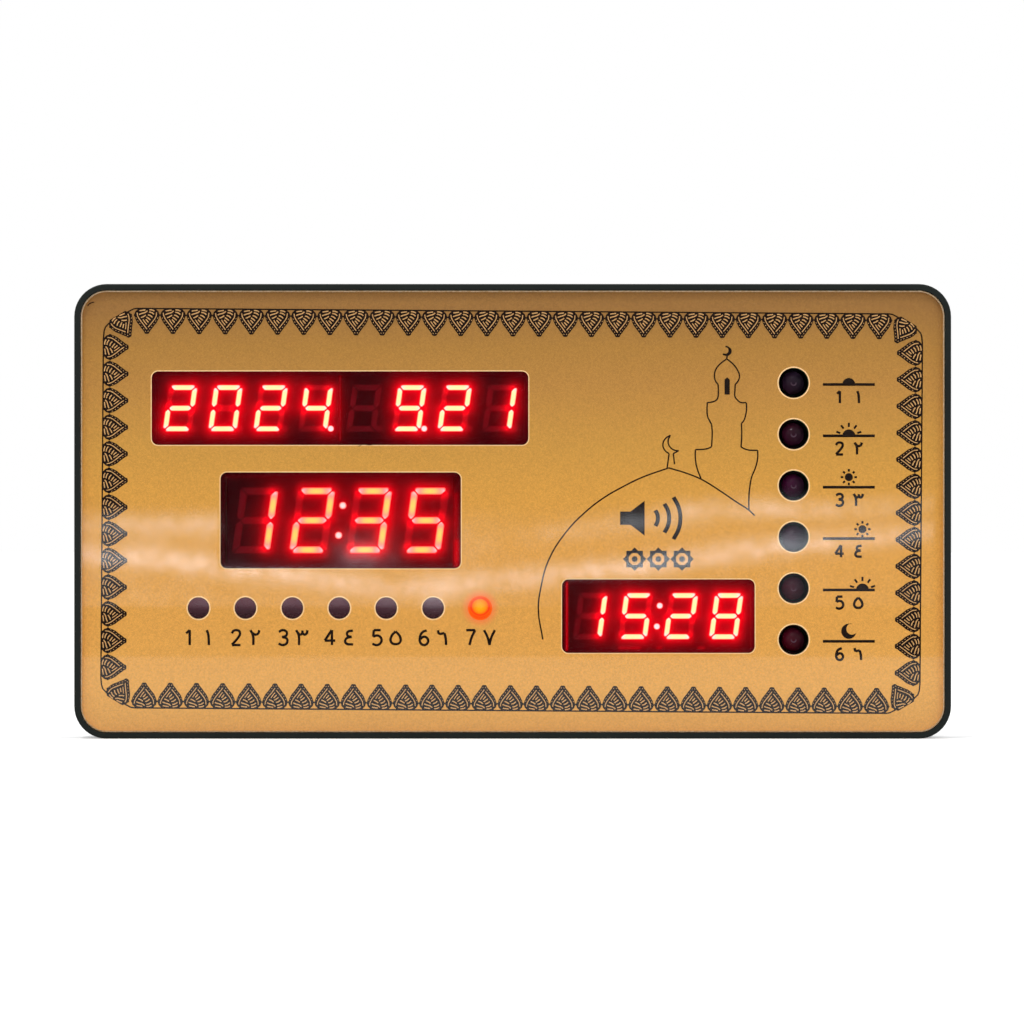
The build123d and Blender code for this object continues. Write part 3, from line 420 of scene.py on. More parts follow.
# leaf border: a leaf hangs from the line, its tip towards the middle
border = {
    "centre": (-0.3, 70.15),
    "halfSize": (126.2, 61.55),
    "cut": [(115.9, 61.55), (117, 61.35), (119.1, 60.25), (121.6, 59), (124.3, 57.1), (125.6, 55.7),
            (126, 54.5), (126.2, 52.2)],  # one corner of the line
    "topCount": 29, "topPitch": 8.06,
    "sideCount": 13, "sidePitch": 8.22, "sideRise": 0.25,
    "cornerLeaf": (122, 59.4), "cornerTurn": 31,
    "askew": 0.42,  # the print sits turned on the film by this many degrees
    "line": 0.21,
    # right edge of the leaf from its base: across, inwards; the left edge mirrors it
    "outline": [(2.8, 0.1), (3.1, 0.5), (3.6, 0.95), (3.8, 1.6), (4.04, 1.95), (4.04, 2.2), (3.8, 2.45),
                (3.6, 3.2), (3, 4.4), (2.25, 5.3), (1.5, 6.35), (0.9, 7.1), (0.72, 7.6), (0.4, 7.82)],
    "innerLine": [(-3.05, 1.3), (-2.9, 2.2), (-2.45, 3.1), (-1.75, 4.05), (-1.05, 4.9), (-0.4, 5.8),
                  (0.02, 6.4)],
    "innerLineRight": [(2.95, 1.2), (2.86, 2.3), (2.44, 3.15), (1.75, 4.1), (1.07, 4.95), (0.4, 5.75)],
    "cells": [
        [(-2.3, 0.72), (-1.58, 0.6), (-0.5, 0.45)], [(-2.4, 1.85), (-1.58, 1.54), (-0.47, 1.2), (0.15, 0.7)],
        [(-1.8, 2.8), (-1.15, 2.56), (-0.35, 2.05)], [(0.75, 0.4), (1.58, 0.48), (2.3, 0.78)],
        [(0.68, 1.1), (1.5, 1.28), (2.2, 1.78)], [(0.35, 1.97), (1.07, 2.2), (1.7, 2.75)],
        [(-0.15, 2.65), (0.47, 3.05), (1.1, 3.55)], [(-0.35, 3.35), (0.04, 3.76), (0.5, 4.3)],
    ],
    "cellWidth": 0.19,
    "thin": [(-1.2, 3.35), (-0.64, 4.2), (0, 5)],
    "strokeWidth": 0.15,
    "beads": [(3.3, 2.95), (2.75, 3.85), (2.15, 4.65), (1.52, 5.5), (0.92, 6.25), (0.4, 7.05)],
    "beadSize": (0.14, 0.09), "beadSlope": 0.6,  # half length, half width, sideways per half length
}


def borderSpots():
    # place, turn and whether the leaf is mirrored
    cx, cz = border["centre"]
    hx, hz = border["halfSize"]
    spots = []
    for n in range(border["topCount"]):
        x = cx + (n - (border["topCount"] - 1) / 2) * border["topPitch"]
        spots += [(x, cz + hz, 0, 1), (x, cz - hz, 180, -1)]
    for n in range(border["sideCount"]):
        z = cz + border["sideRise"] + (n - (border["sideCount"] - 1) / 2) * border["sidePitch"]
        spots += [(cx - hx, z, 90, 1), (cx + hx, z, -90, -1)]
    x, z = border["cornerLeaf"]
    turn = border["cornerTurn"]
    spots += [(cx - x, cz + z, turn, -1), (cx + x, cz + z, -turn, 1)]
    spots += [(cx - x, cz - z, 180 - turn, 1), (cx + x, cz - z, turn - 180, -1)]
    return spots


def hanging(points):
    return [(u, -v) for u, v in points]


def makeBorder():
    cx, cz = border["centre"]
    side, cut = border["outline"], border["cut"]
    leaf = solid(hanging(side + [(-u, v) for u, v in reversed(side)]))
    half, width = border["beadSize"]
    slope = half * border["beadSlope"]
    beads = [[(hand * (u + slope), half - v), (hand * (u - slope), -half - v)]
             for u, v in border["beads"] for hand in (1, -1)]
    hairs = [hanging(border[name]) for name in ("innerLine", "innerLineRight", "thin")]
    paleMeshes = [
        inked([hanging(cell) for cell in border["cells"]], border["cellWidth"], ink=paleInk, fineness=3),
        inked(hairs, border["strokeWidth"], bend=False, ink=paleInk),
        inked(beads, width, bend=False, ink=paleInk),
    ]
    ring = cut + [(x, -z) for x, z in reversed(cut)]
    ring += [(-x, -z) for x, z in ring]
    dark, pale = bmesh.new(), bmesh.new()
    dark.from_mesh(inked([[(cx + x, cz + z) for x, z in ring]], border["line"], closed=True, bend=False))
    for x, z, turn, hand in borderSpots():
        addAt(dark, leaf, x, z, turn, hand)
        for mesh in paleMeshes:
            addAt(pale, mesh, x, z, turn, hand)
    for bm in (dark, pale):
        bmesh.ops.rotate(bm, verts=bm.verts, cent=(cx * mm, 0, cz * mm),
                         matrix=Matrix.Rotation(radians(border["askew"]), 3, "Y"))
    newPiece("leafBorderDark", dark, darkBrown, "case")
    newPiece("leafBorderPale", pale, paleGold, "case")


makeBorder()
print("leaf border printed")

# line figure of a dome and a tower, plain and generic
figure = {
    "line": 0.22,
    "strokes": [
        [(9.3, 30.5), (7.9, 40), (8.7, 46.5), (11, 54.8), (16.3, 63.4), (22.2, 69.6), (28.1, 74.2),
         (34, 77.6), (39.7, 80.4), (48.1, 83.4)],
        [(48.1, 83.4), (53.7, 81.7), (58.1, 79.9), (63.8, 76.4), (69.1, 72.8), (72.8, 70.4), (74.6, 68.7)],
        [(66, 117), (63.8, 115.3), (62.5, 113.5), (62.2, 111.8), (62.5, 110.2), (63.3, 109.1)],
        [(63.3, 109.1), (63.4, 107.1), (63.3, 105.4), (62.9, 104.4), (61.8, 103.8), (60, 103.5)],
        [(60, 103.5), (59.9, 101.4), (60.1, 99.2), (60.7, 97.9), (61.3, 96.8)],
        [(61.3, 96.8), (61.5, 94.4), (61.3, 89.9)], [(61.3, 89.9), (59.9, 89.3), (56.3, 89)],
        [(56.3, 89), (56.3, 86.5), (56.7, 83.8), (58.1, 79.9)],
        [(66, 117), (68, 115.3), (69.3, 113.5), (69.9, 111.8), (69.5, 110.2), (68.6, 109.1)],
        [(68.6, 109.1), (68.5, 107.1), (68.5, 105.4), (69.1, 104.5), (70.2, 103.6), (72, 103.5)],
        [(72, 103.5), (72.1, 101.9), (71.8, 99.7), (71.2, 97.9), (70.5, 97.1)],
        [(70.5, 97.1), (70.6, 93.5), (70.4, 89.8)], [(70.4, 89.8), (72.2, 89), (75.5, 88.8)],
        [(75.5, 88.8), (75.5, 86.5), (74.8, 83.4), (73.7, 80.7), (73.1, 77.7), (72.8, 74.2), (72.8, 70.4)],
        [(66.1, 118), (66, 117)],
        [(48.6, 93.5), (46.9, 92.2), (46.3, 90.4), (47, 88.7), (48.2, 87.8)], [(48.2, 87.8), (47.6, 83.3)],
        [(48.6, 93.5), (47.9, 91.7), (48.4, 90), (49.7, 88.9), (51.2, 88.7)], [(51.2, 88.7), (49.5, 87.8)],
        [(49.5, 87.8), (49.9, 84.5)],
    ],
    "window": [(65.3, 106), (65.3, 110.6), (66.1, 111.3), (66.9, 110.6), (66.9, 106)],
    "moon": [(65.5, 120.8), (66.9, 120.5), (67.5, 119.3), (66.9, 118.2), (66, 117.9), (64.7, 118.5),
             (65.9, 118.6), (66.5, 119.5), (66.3, 120.3)],
}

# plain signs in the places of the labels
signs = {
    "numeralHeight": 3.7,
    "lampSignX": 103.6,
    "lampSignDrop": 0.5, "lampNumberDrop": 4.4,
    "dayNumberDrop": 9.1, "dayNumberHeight": 4.6,
    "pairSpread": 2.9,
    "stroke": 0.38,
    # strokes of the figures in a box one high, in western and in eastern numerals
    "westernNumerals": {
        1: [[(0.3, 0.78), (0.54, 1)], [(0.54, 1), (0.54, 0)]],
        2: [[(0.22, 0.78), (0.32, 0.94), (0.52, 1), (0.72, 0.92), (0.76, 0.72), (0.6, 0.45), (0.22, 0.02)],
            [(0.22, 0), (0.8, 0)]],
        3: [[(0.22, 0.88), (0.48, 1), (0.74, 0.88), (0.72, 0.64), (0.44, 0.54)],
            [(0.44, 0.54), (0.76, 0.42), (0.76, 0.14), (0.5, 0), (0.2, 0.1)]],
        4: [[(0.62, 1), (0.16, 0.3)], [(0.16, 0.3), (0.86, 0.3)], [(0.64, 1), (0.64, 0)]],
        5: [[(0.76, 1), (0.3, 1)], [(0.3, 1), (0.26, 0.56)],
            [(0.26, 0.56), (0.52, 0.64), (0.78, 0.48), (0.78, 0.18), (0.52, 0), (0.2, 0.08)]],
        6: [[(0.7, 0.98), (0.42, 0.86), (0.24, 0.5), (0.3, 0.12), (0.52, 0), (0.76, 0.14), (0.76, 0.42),
             (0.52, 0.56), (0.27, 0.4)]],
        7: [[(0.2, 1), (0.8, 1)], [(0.8, 1), (0.56, 0.5), (0.42, 0)]],
    },
    "easternNumerals": {
        1: [[(0.42, 1), (0.5, 0.8), (0.55, 0.4), (0.56, 0)]],
        2: [[(0.2, 1), (0.36, 0.7), (0.4, 0)], [(0.32, 0.82), (0.52, 0.7), (0.72, 0.78), (0.8, 1)]],
        3: [[(0.12, 1), (0.28, 0.7), (0.32, 0)], [(0.24, 0.82), (0.38, 0.7), (0.52, 0.78), (0.55, 0.98)],
            [(0.54, 0.86), (0.66, 0.7), (0.82, 0.78), (0.88, 1)]],
        4: [[(0.78, 0.97), (0.42, 0.86), (0.42, 0.64), (0.7, 0.55)],
            [(0.7, 0.55), (0.32, 0.42), (0.3, 0.14), (0.8, 0.04)]],
        5: [[(0.5, 0.92), (0.2, 0.55), (0.2, 0.2), (0.5, 0.06), (0.8, 0.2), (0.8, 0.55), (0.5, 0.92)]],
        6: [[(0.2, 1), (0.26, 0.78), (0.62, 0.8)], [(0.62, 0.8), (0.7, 0.5), (0.74, 0)]],
        7: [[(0.14, 1), (0.38, 0.5), (0.5, 0)], [(0.5, 0), (0.62, 0.5), (0.86, 1)]],
    },
    # sun signs beside the six lamps: height of the sun over the horizon, shift, rays, night
    "suns": [
        {"rise": 0, "shift": 0, "rays": 0}, {"rise": 0, "shift": 0, "rays": 5},
        {"rise": 3.1, "shift": 0, "rays": 8}, {"rise": 2.9, "shift": 4.2, "rays": 8},
        {"rise": 0, "shift": 4.2, "rays": 5}, {"rise": 3.1, "shift": 0, "rays": 0, "night": True},
    ],
    "sunRadius": 2, "highSun": 0.62, "rayGap": 0.75, "rayLength": 1.3, "rayWidth": 0.32, "horizon": 16,
    "horizonWidth": 0.42,
    # a nick in the film's corner and one at the foot of the date window: line, half width
    "nicks": [
        ([(-131, 133.3), (-130.2, 134.1), (-129, 134.5)], 0.16),
        ([(-47.5, 90.1), (-46, 90.6), (-44.2, 90.4), (-42.6, 90.6)], 0.14),
    ],
    # the night sun is a moon: its size, and the place and size of the bite, as shares of its radius
    "moonSize": 1.9, "moonBite": (0.42, 0.3, 0.75), "moonArc": (70, 350, 20), "biteArc": (318, 102, -18),
    # a loudspeaker with three waves
    "speakerAt": (44, 67.9), "speakerScale": 1.28,
    "horn": [(-8.5, -1.6), (-6, -1.6), (-2.6, -4.2), (-2.6, 4.2), (-6, 1.6), (-8.5, 1.6)],
    "waveFrom": -2.6, "waves": (3.2, 5.9, 8.6), "waveArc": (-36, 36, 18), "waveWidth": 0.62,
    # eight-pointed stars with a filled heart
    "starsAt": [(37.6, 55.3), (44.9, 55.3), (52.2, 55.3)], "starRadius": 3.1, "starLine": 0.36,
    "starHeart": 0.3,
}
dayLamps = [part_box(f"weekday_lamp_{n}") for n in range(1, 8)]
callLamps = [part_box(f"prayer_lamp_{n}") for n in range(1, 7)]


def addNumber(bm, number, x, z, height):
    # the number twice, in western and in eastern figures
    for side, numerals in ((-1, "westernNumerals"), (1, "easternNumerals")):
        rows = signs[numerals][number]
        strokes = [[((u - 0.5) * height, v * height) for u, v in row] for row in rows]
        addAt(bm, inked(strokes, signs["stroke"]), x + side * signs["pairSpread"], z - height / 2)


def addSun(bm, x, z, sun):
    # z is the height of the horizon
    half = signs["horizon"] / 2
    addAt(bm, inked([[(-half, 0), (half, 0)]], signs["horizonWidth"], bend=False), x, z)
    low = sun["rise"] == 0
    scale = 1.0 if low else signs["highSun"]
    cx, cz, r = sun["shift"], sun["rise"], signs["sunRadius"] * scale
    if sun.get("night"):
        r *= signs["moonSize"]
        biteX, biteZ, bite = [r * share for share in signs["moonBite"]]
        rim = arc(cx, cz, r, *signs["moonArc"]) + arc(cx + biteX, cz + biteZ, bite, *signs["biteArc"])
    else:
        rim = arc(cx, cz, r, 0, 180 if low else 340, 20)
    addAt(bm, solid(rim), x, z)
    reach = (r + signs["rayGap"] * scale, r + (signs["rayGap"] + signs["rayLength"]) * scale)
    rays = []
    for n in range(sun["rays"]):
        angle = pi * (n + 0.5) / sun["rays"] if low else 2 * pi * n / sun["rays"]
        rays.append([(cx + out * cos(angle), cz + out * sin(angle)) for out in reach])
    if rays:
        addAt(bm, inked(rays, signs["rayWidth"], bend=False), x, z)


def makeFigureAndSigns():
    bm = bmesh.new()
    bm.from_mesh(inked(figure["strokes"], figure["line"]))
    bm.from_mesh(solid(figure["window"]))
    bm.from_mesh(solid(figure["moon"], bend=True))
    newPiece("domeAndTowerPrint", bm, darkBrown, "case")
    bm = bmesh.new()
    for number, box in enumerate(dayLamps, 1):
        x, z = middle(box)
        addNumber(bm, number, x, z - signs["dayNumberDrop"], signs["dayNumberHeight"])
    for number, (box, sun) in enumerate(zip(callLamps, signs["suns"]), 1):
        x, z = signs["lampSignX"], middle(box)[1]
        addNumber(bm, number, x, z - signs["lampNumberDrop"], signs["numeralHeight"])
        addSun(bm, x, z - signs["lampSignDrop"], sun)
    x, z = signs["speakerAt"]
    size = signs["speakerScale"]
    horn = [(u * size, v * size) for u, v in signs["horn"]]
    waves = [arc(signs["waveFrom"] * size, 0, r * size, *signs["waveArc"]) for r in signs["waves"]]
    addAt(bm, solid(horn), x, z)
    addAt(bm, inked(waves, signs["waveWidth"]), x, z)
    # each star is two squares
    for x, z in signs["starsAt"]:
        r = signs["starRadius"]
        squares = [arc(0, 0, r, turn, turn + 270, 90) for turn in (0, 45)]
        addAt(bm, inked(squares, signs["starLine"], closed=True, bend=False), x, z)
        addAt(bm, solid(arc(0, 0, r * signs["starHeart"], 0, 315, 45)), x, z)
    for line, halfWidth in signs["nicks"]:
        bm.from_mesh(inked([line], halfWidth))
    newPiece("signPrint", bm, darkBrown, "case")


makeFigureAndSigns()
print("figure and signs printed")

# signs on the back, over the setting buttons and the supply socket: radii of rings, and lines
backSigns = {
    "line": 0.2, "rise": 9.6, "socketRise": 9.0,
    "mode_button": ([1.9], [[(0, 0), (0, 1.2)], [(0, 0), (0.9, 0)]]),
    "set_button": ([1.9, 0.6], []),
    "up_button": ([], [arc(0, -0.4, 2.0, 90, 330, 120), [(1.732, -1.4), (0, 1.6)]]),
    "down_button": ([], [arc(0, 0.4, 2.0, 30, 270, 120), [(0, -1.6), (1.732, 1.4)]]),
    "stop_button": ([], [arc(0, 0, 2.2, 45, 315, 90), [(1.556, -1.556), (1.556, 1.556)]]),
    "dc_socket_body": ([0.5], [
        arc(0, 0, 1.5, 45, 315, 45), [(-4.4, 0), (-1.5, 0)], [(0.5, 0), (4.4, 0)], [(-7, 0), (-5.4, 0)],
        [(5.4, 0), (7, 0)], [(6.2, -0.8), (6.2, 0.8)],
    ]),
}


def makeBackSigns():
    bm = bmesh.new()
    for name in [n for n in backSigns if n in nodes]:
        x, z = middle(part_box(name))
        z += backSigns["socketRise" if name == "dc_socket_body" else "rise"]
        rings, lines = backSigns[name]
        for radius in rings:
            addAt(bm, inked([arc(0, 0, radius, 0, 315, 45)], backSigns["line"], closed=True), -x, z)
        for points in lines:
            addAt(bm, inked([points], backSigns["line"], bend=False), -x, z)
    # drawn for the front, then turned to the back
    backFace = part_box("rear_cover")[1].y / mm
    turn = Matrix.Rotation(radians(180), 4, "Z")
    bm.transform(Matrix.Translation((0, (backFace + filmFront) * mm, 0)) @ turn)
    greyInk = newMaterial("greyInkPadPrinted", dryInk, "#8f9494", "#a5aaa9")
    newPiece("backSignPrint", bm, greyInk, "case")


makeBackSigns()
print("back signs printed")

# pale cut edge of the film round every window and lamp
cutEdge = {
    "windowWidth": 0.28, "holeWidth": 0.38, "callHole": 4.65, "dayHole": 3.35,
    "thick": 0.03, "level": 0.01, "corner": 2.0, "segments": 6,
}
windows = {
    "date": {"at": (-53.2, 101.8), "size": (116.1, 22.7)},
    "clock": {"at": (-53.0, 67.2), "size": (74.1, 29.6)},
    "azan": {"at": (44.9, 37.7), "size": (59.4, 22.7)},
}


def openRings(bm, faces, width):
    # leaves only a rim of this width round each face
    bmesh.ops.inset_individual(bm, faces=faces, thickness=-width * mm, use_even_offset=True)
    bmesh.ops.delete(bm, geom=faces, context="FACES_ONLY")


def addHoles(bm, boxes, radius):
    holes = []
    for box in boxes:
        x, z = middle(box)
        holes += uprightDisc(bm, (x, 0, z), radius)[0].link_faces
    return holes


def raiseEdges(bm):
    moveBack(bm, bm.verts, filmFront - cutEdge["level"])
    raised = bmesh.ops.extrude_face_region(bm, geom=bm.faces[:])["geom"]
    moveBack(bm, only(raised, bmesh.types.BMVert), -cutEdge["thick"])


def makeCutEdges():
    bm = bmesh.new()
    for window in windows.values():
        made = uprightGrid(bm, (window["at"][0], 0, window["at"][1]), window["size"])
        roundCorners(bm, made, cutEdge["corner"], cutEdge["segments"])
    openRings(bm, list(bm.faces), cutEdge["windowWidth"])
    # the last day lamp is lit; its edge glows and is made with the lamp windows
    holes = addHoles(bm, callLamps, cutEdge["callHole"]) + addHoles(bm, dayLamps[:-1], cutEdge["dayHole"])
    openRings(bm, holes, cutEdge["holeWidth"])
    raiseEdges(bm)
    newPiece("filmCutEdges", bm, creamEdge, "case")


makeCutEdges()
print("cut edges made")

# displays
smallDigit = {"pitch": 13.95, "halfWidth": 3.65, "halfHeight": 6.35, "stroke": 1.6, "cut": 0.8, "dot": 0.95,
              "dotAt": (4.55, -6.3), "colonHalf": 3.2}
largeDigit = {"pitch": 17.55, "halfWidth": 4.75, "halfHeight": 9.05, "stroke": 2.1, "cut": 1.1, "dot": 1.1,
              "dotAt": (6.0, -9.0), "colonHalf": 4.6}
displayFace = {
    # gap between bars at the corners and at the waist; where a sharp end is cut off, as a share of the cut
    "slant": 8, "gap": 0.3, "waist": 0.42, "blunt": 0.7, "corner": 0.2, "proud": 0.12, "cuts": 4,
    # bars, in the order of barOutlines: top, foot, middle, right up, right low, left up, left low
    "lit": {
        "0": "1101111", "1": "0001100", "2": "1111001", "3": "1111100", "4": "0011110", "5": "1110110",
        "8": "1111111", "9": "1111110", " ": "0000000",
    },
}
displays = {
    "date_display_left": {"digit": smallDigit, "shows": "2024", "points": (3,), "window": "date"},
    "date_display_right": {"digit": smallDigit, "shows": " 921", "points": (1,), "window": "date"},
    "clock_display": {"digit": largeDigit, "shows": "1235", "colon": True, "window": "clock"},
    "azan_display": {"digit": smallDigit, "shows": "1528", "colon": True, "window": "azan"},
}


def fromLine(x, z, a, b):
    # distance of a place from the line between two points
    ux, uz = b[0] - a[0], b[1] - a[1]
    t = max(0.0, min(1.0, ((x - a[0]) * ux + (z - a[1]) * uz) / max(ux * ux + uz * uz, 1e-9)))
    return hypot(x - a[0] - t * ux, z - a[1] - t * uz)


def barOutlines(digit):
    w, h, half = digit["halfWidth"], digit["halfHeight"], digit["stroke"] / 2
    gap, waist, cut = displayFace["gap"], displayFace["waist"], digit["cut"]
    blunt = cut * displayFace["blunt"]
    end, top = w + half - gap, h + half
    capHalf = [(end - cut, top), (end - blunt, top - blunt), (w - half - gap, h - half)]
    cap = capHalf + [(-x, z) for x, z in reversed(capHalf)]
    side = [(w + half, top - gap - cut), (w + half - blunt, top - gap - blunt), (w - half, h - half - gap),
            (w - half, waist + half), (w, waist), (w + half, waist + half)]
    bar = [(-w + gap, 0), (-w + half + gap, half), (w - half - gap, half), (w - gap, 0),
           (w - half - gap, -half), (-w + half + gap, -half)]
    turned = [[(x * mx, z * mz) for x, z in side] for mx in (1, -1) for mz in (1, -1)]
    return [cap, [(x, -z) for x, z in cap], bar] + turned


def barAxes(digit):
    # middle line of each bar, as far as the bar is at full width
    w, h, half = digit["halfWidth"], digit["halfHeight"], digit["stroke"] / 2
    sides = [((mx * w, mz * (h - half)), (mx * w, mz * half)) for mx in (1, -1) for mz in (1, -1)]
    return [((half - w, z), (w - half, z)) for z in (h, -h, 0)] + sides


def litParts(name, state="1"):
    # bars that are lit, or with state "0" those that aren't, as (outline, axis), and lit dots as (x, z)
    display = displays[name]
    digit = display["digit"]
    x0, z0 = middle(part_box(name + "_body"))
    lean = tan(radians(displayFace["slant"]))
    bars, dots = [], []
    for n, figureShown in enumerate(display["shows"]):
        x = x0 + (n - 1.5) * digit["pitch"]
        for on, outline, axis in zip(displayFace["lit"][figureShown], barOutlines(digit), barAxes(digit)):
            if on == state:
                bars.append([[(x + u + v * lean, z0 + v) for u, v in shape] for shape in (outline, axis)])
        if n in display.get("points", ()):
            dots.append((x + digit["dotAt"][0], z0 + digit["dotAt"][1]))
    if display.get("colon"):
        half = digit["colonHalf"]
        dots += [(x0 + side * half * lean, z0 + side * half) for side in (-1, 1)]
    return bars, dots


# light bars, epoxy cast with a diffuser: cream or amber in the middle, pinkish at the ends, red at the rim
lightBars = {
    # colours from the middle of a bar to its end, the colour of its rim, and how much of its width that takes
    "small": {"shares": (0.0, 0.6, 0.85, 1.0), "along": ("#fff2a4", "#fff0b0", "#ffe6dc", "#ffe2ea"),
              "rim": "#ff4450", "rimShare": 0.36},
    "large": {"shares": (0.0, 0.35, 0.66, 0.84, 1.0),
              "along": ("#ffd24c", "#ffc05c", "#ff8c78", "#ff9ca4", "#ffdcdc"),
              "rim": "#ff1c3c", "rimShare": 0.5},
    "epoxy": "#c08060", "strength": 1.5,
    "endShare": 0.8,  # how far past its full width a bar's end colour lies, as a share of half the width
}


def barGlow(tree, look):
    tone = ramp(tree, attribute(tree, "along"), look["shares"], look["along"])
    inside = remap(tree, attribute(tree, "warmth"), 0.0, look["rimShare"])
    return principled(tree, lightBars["epoxy"], 0.4, **{
        "Emission Color": mix(tree, inside, look["rim"], tone), "Emission Strength": lightBars["strength"],
    })


def makeLitBars(name, material):
    bars, dots = litParts(name)
    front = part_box(name + "_segments")[0].y
    digit = displays[name]["digit"]
    bm = bmesh.new()
    warmth = bm.verts.layers.float.new("warmth")
    along = bm.verts.layers.float.new("along")
    shapes = [(axis, digit["stroke"] / 2) for outline, axis in bars]
    shapes += [((dot, dot), digit["dot"]) for dot in dots]
    for outline, axis in bars:
        face = bm.faces.new([bm.verts.new((x * mm, front, z * mm)) for x, z in outline])
        roundCorners(bm, face.verts[:], displayFace["corner"], 2)
    for x, z in dots:
        uprightDisc(bm, (x, front / mm, z), digit["dot"], 20)
    top = bmesh.ops.extrude_discrete_faces(bm, faces=bm.faces[:])["faces"]
    moveBack(bm, list({v for f in top for v in f.verts}), -displayFace["proud"])
    fans = bmesh.ops.poke(bm, faces=top)["faces"]
    bmesh.ops.subdivide_edges(bm, edges=list({e for f in fans for e in f.edges}), cuts=displayFace["cuts"],
                              use_grid_fill=True)
    for v in bm.verts:
        x, z = v.co.x / mm, v.co.z / mm
        away, half, ((ax, az), (bx, bz)) = min((fromLine(x, z, *axis), half, axis) for axis, half in shapes)
        v[warmth] = max(0.0, 1 - away / half)
        length = hypot(bx - ax, bz - az) / 2
        reach = length + half * lightBars["endShare"]
        v[along] = hypot(x - (ax + bx) / 2, z - (az + bz) / 2) / reach if length else 1.0
    newPiece(name.replace("_display", "LitBars"), bm, material, "case")


smallGlow = newMaterial("lightBarEpoxyCastSmall", barGlow, lightBars["small"])
largeGlow = newMaterial("lightBarEpoxyCastLarge", barGlow, lightBars["large"])
for displayName, display in displays.items():
    makeLitBars(displayName, largeGlow if display["digit"] is largeDigit else smallGlow)


# unlit bars, the same epoxy without light: dull dark red
# potted module, dyed epoxy in a moulded shell: nearly black red, smooth
def dyedEpoxy(tree, shades, roughness, cloud):
    swirl = noise(tree, cloud, 3.0)
    tone = ramp(tree, swirl, noiseRange, shades)
    return principled(tree, tone, roughness, 0.12, Normal=bump(tree, swirl, 0.6, 0.01))


unlitBar = newMaterial("lightBarEpoxyUnlit", dyedEpoxy, ("#5a040c", "#6c0816"), 0.4, 3.0)
potting = newMaterial("displayEpoxyPotted", dyedEpoxy, ("#180002", "#230103"), 0.35, 9.0)
dress(unlitBar, *[n + "_segments" for n in displays])
dress(potting, *[n + "_body" for n in displays])

# red filter film behind each window: it carries the red light that spreads from the bars
filterGlow = {
    "cell": 0.5, "margin": 2,
    # a rim of light round the nearest bar, and a spread that adds up over all bars: strength, reach
    "small": {"rim": (0.26, 1.4), "spread": (0.42, 1.8)},
    "large": {"rim": (0.4, 1.6), "spread": (0.24, 2.6)},
    "base": {"date": 0.02, "clock": 0.01, "azan": 0.035},
    "dotShare": 0.5,  # light of a dot, as a share of a bar's
    "unlit": 1.6,  # a bar that is off scatters more of the light round it than the shell does
    "streaks": (0.86, 1.14),  # unevenness of the film
    "film": "#2a0004", "light": "#ff0014",
    "farthest": 30,  # mm; a bar beyond it adds nothing
    # how dense the film looks: over the displays, and along the window's edge, where it is glued down;
    # and how far in the edge fades, from and to
    "alpha": (0.16, 0.85), "glued": (1.9, 1.3),
    # shell edges that catch the light: from, to, strength, width
    "glints": [
        ((16.7, 27.5), (16.7, 47.8), 0.55, 0.35), ((-53.2, 92), (-53.2, 111.5), 0.16, 0.4),
        ((-17.5, 55), (-17.5, 75), 0.22, 0.8), ((-17.3, 53.6), (-17.3, 60.5), 0.35, 0.9),
        ((-88, 80.6), (-19, 80.6), 0.03, 0.7),
        ((-110, 111.3), (-55, 111.3), 0.03, 0.5), ((73.4, 28.5), (73.4, 47), 0.08, 0.5),
        ((33, 27.9), (39, 27.9), 0.3, 0.5), ((44.8, 28), (45.5, 28), 0.3, 0.5),
        ((57.4, 27.9), (58.8, 27.9), 0.3, 0.5),
    ],
}


def glowAt(x, z, sources, unlit):
    rim = spread = 0.0
    for a, b, half, look, share in sources:
        away = max(0.0, fromLine(x, z, a, b) - half)
        if away < filterGlow["farthest"]:
            rim = max(rim, share * look["rim"][0] * exp(-(away / look["rim"][1]) ** 2))
            spread += share * look["spread"][0] * exp(-away / look["spread"][1])
    glow = rim + spread
    if any(fromLine(x, z, a, b) < half for a, b, half in unlit):
        glow *= filterGlow["unlit"]
    return glow + sum(strength * exp(-(fromLine(x, z, a, b) / width) ** 2)
                      for a, b, strength, width in filterGlow["glints"])


def filterFilm(tree):
    # PVC film, calendered and dyed: clear deep red, faintly milky where light passes
    dense = remap(tree, attribute(tree, "glued"), 0.0, 1.0, *filterGlow["alpha"])
    film = principled(tree, filterGlow["film"], 0.22, 0.1, Alpha=dense)
    even = remap(tree, noise(tree, 4), 0.0, 1.0, *filterGlow["streaks"])
    power = maths(tree, "MULTIPLY", attribute(tree, "glow"), even)
    return glowing(tree, film, filterGlow["light"], power)


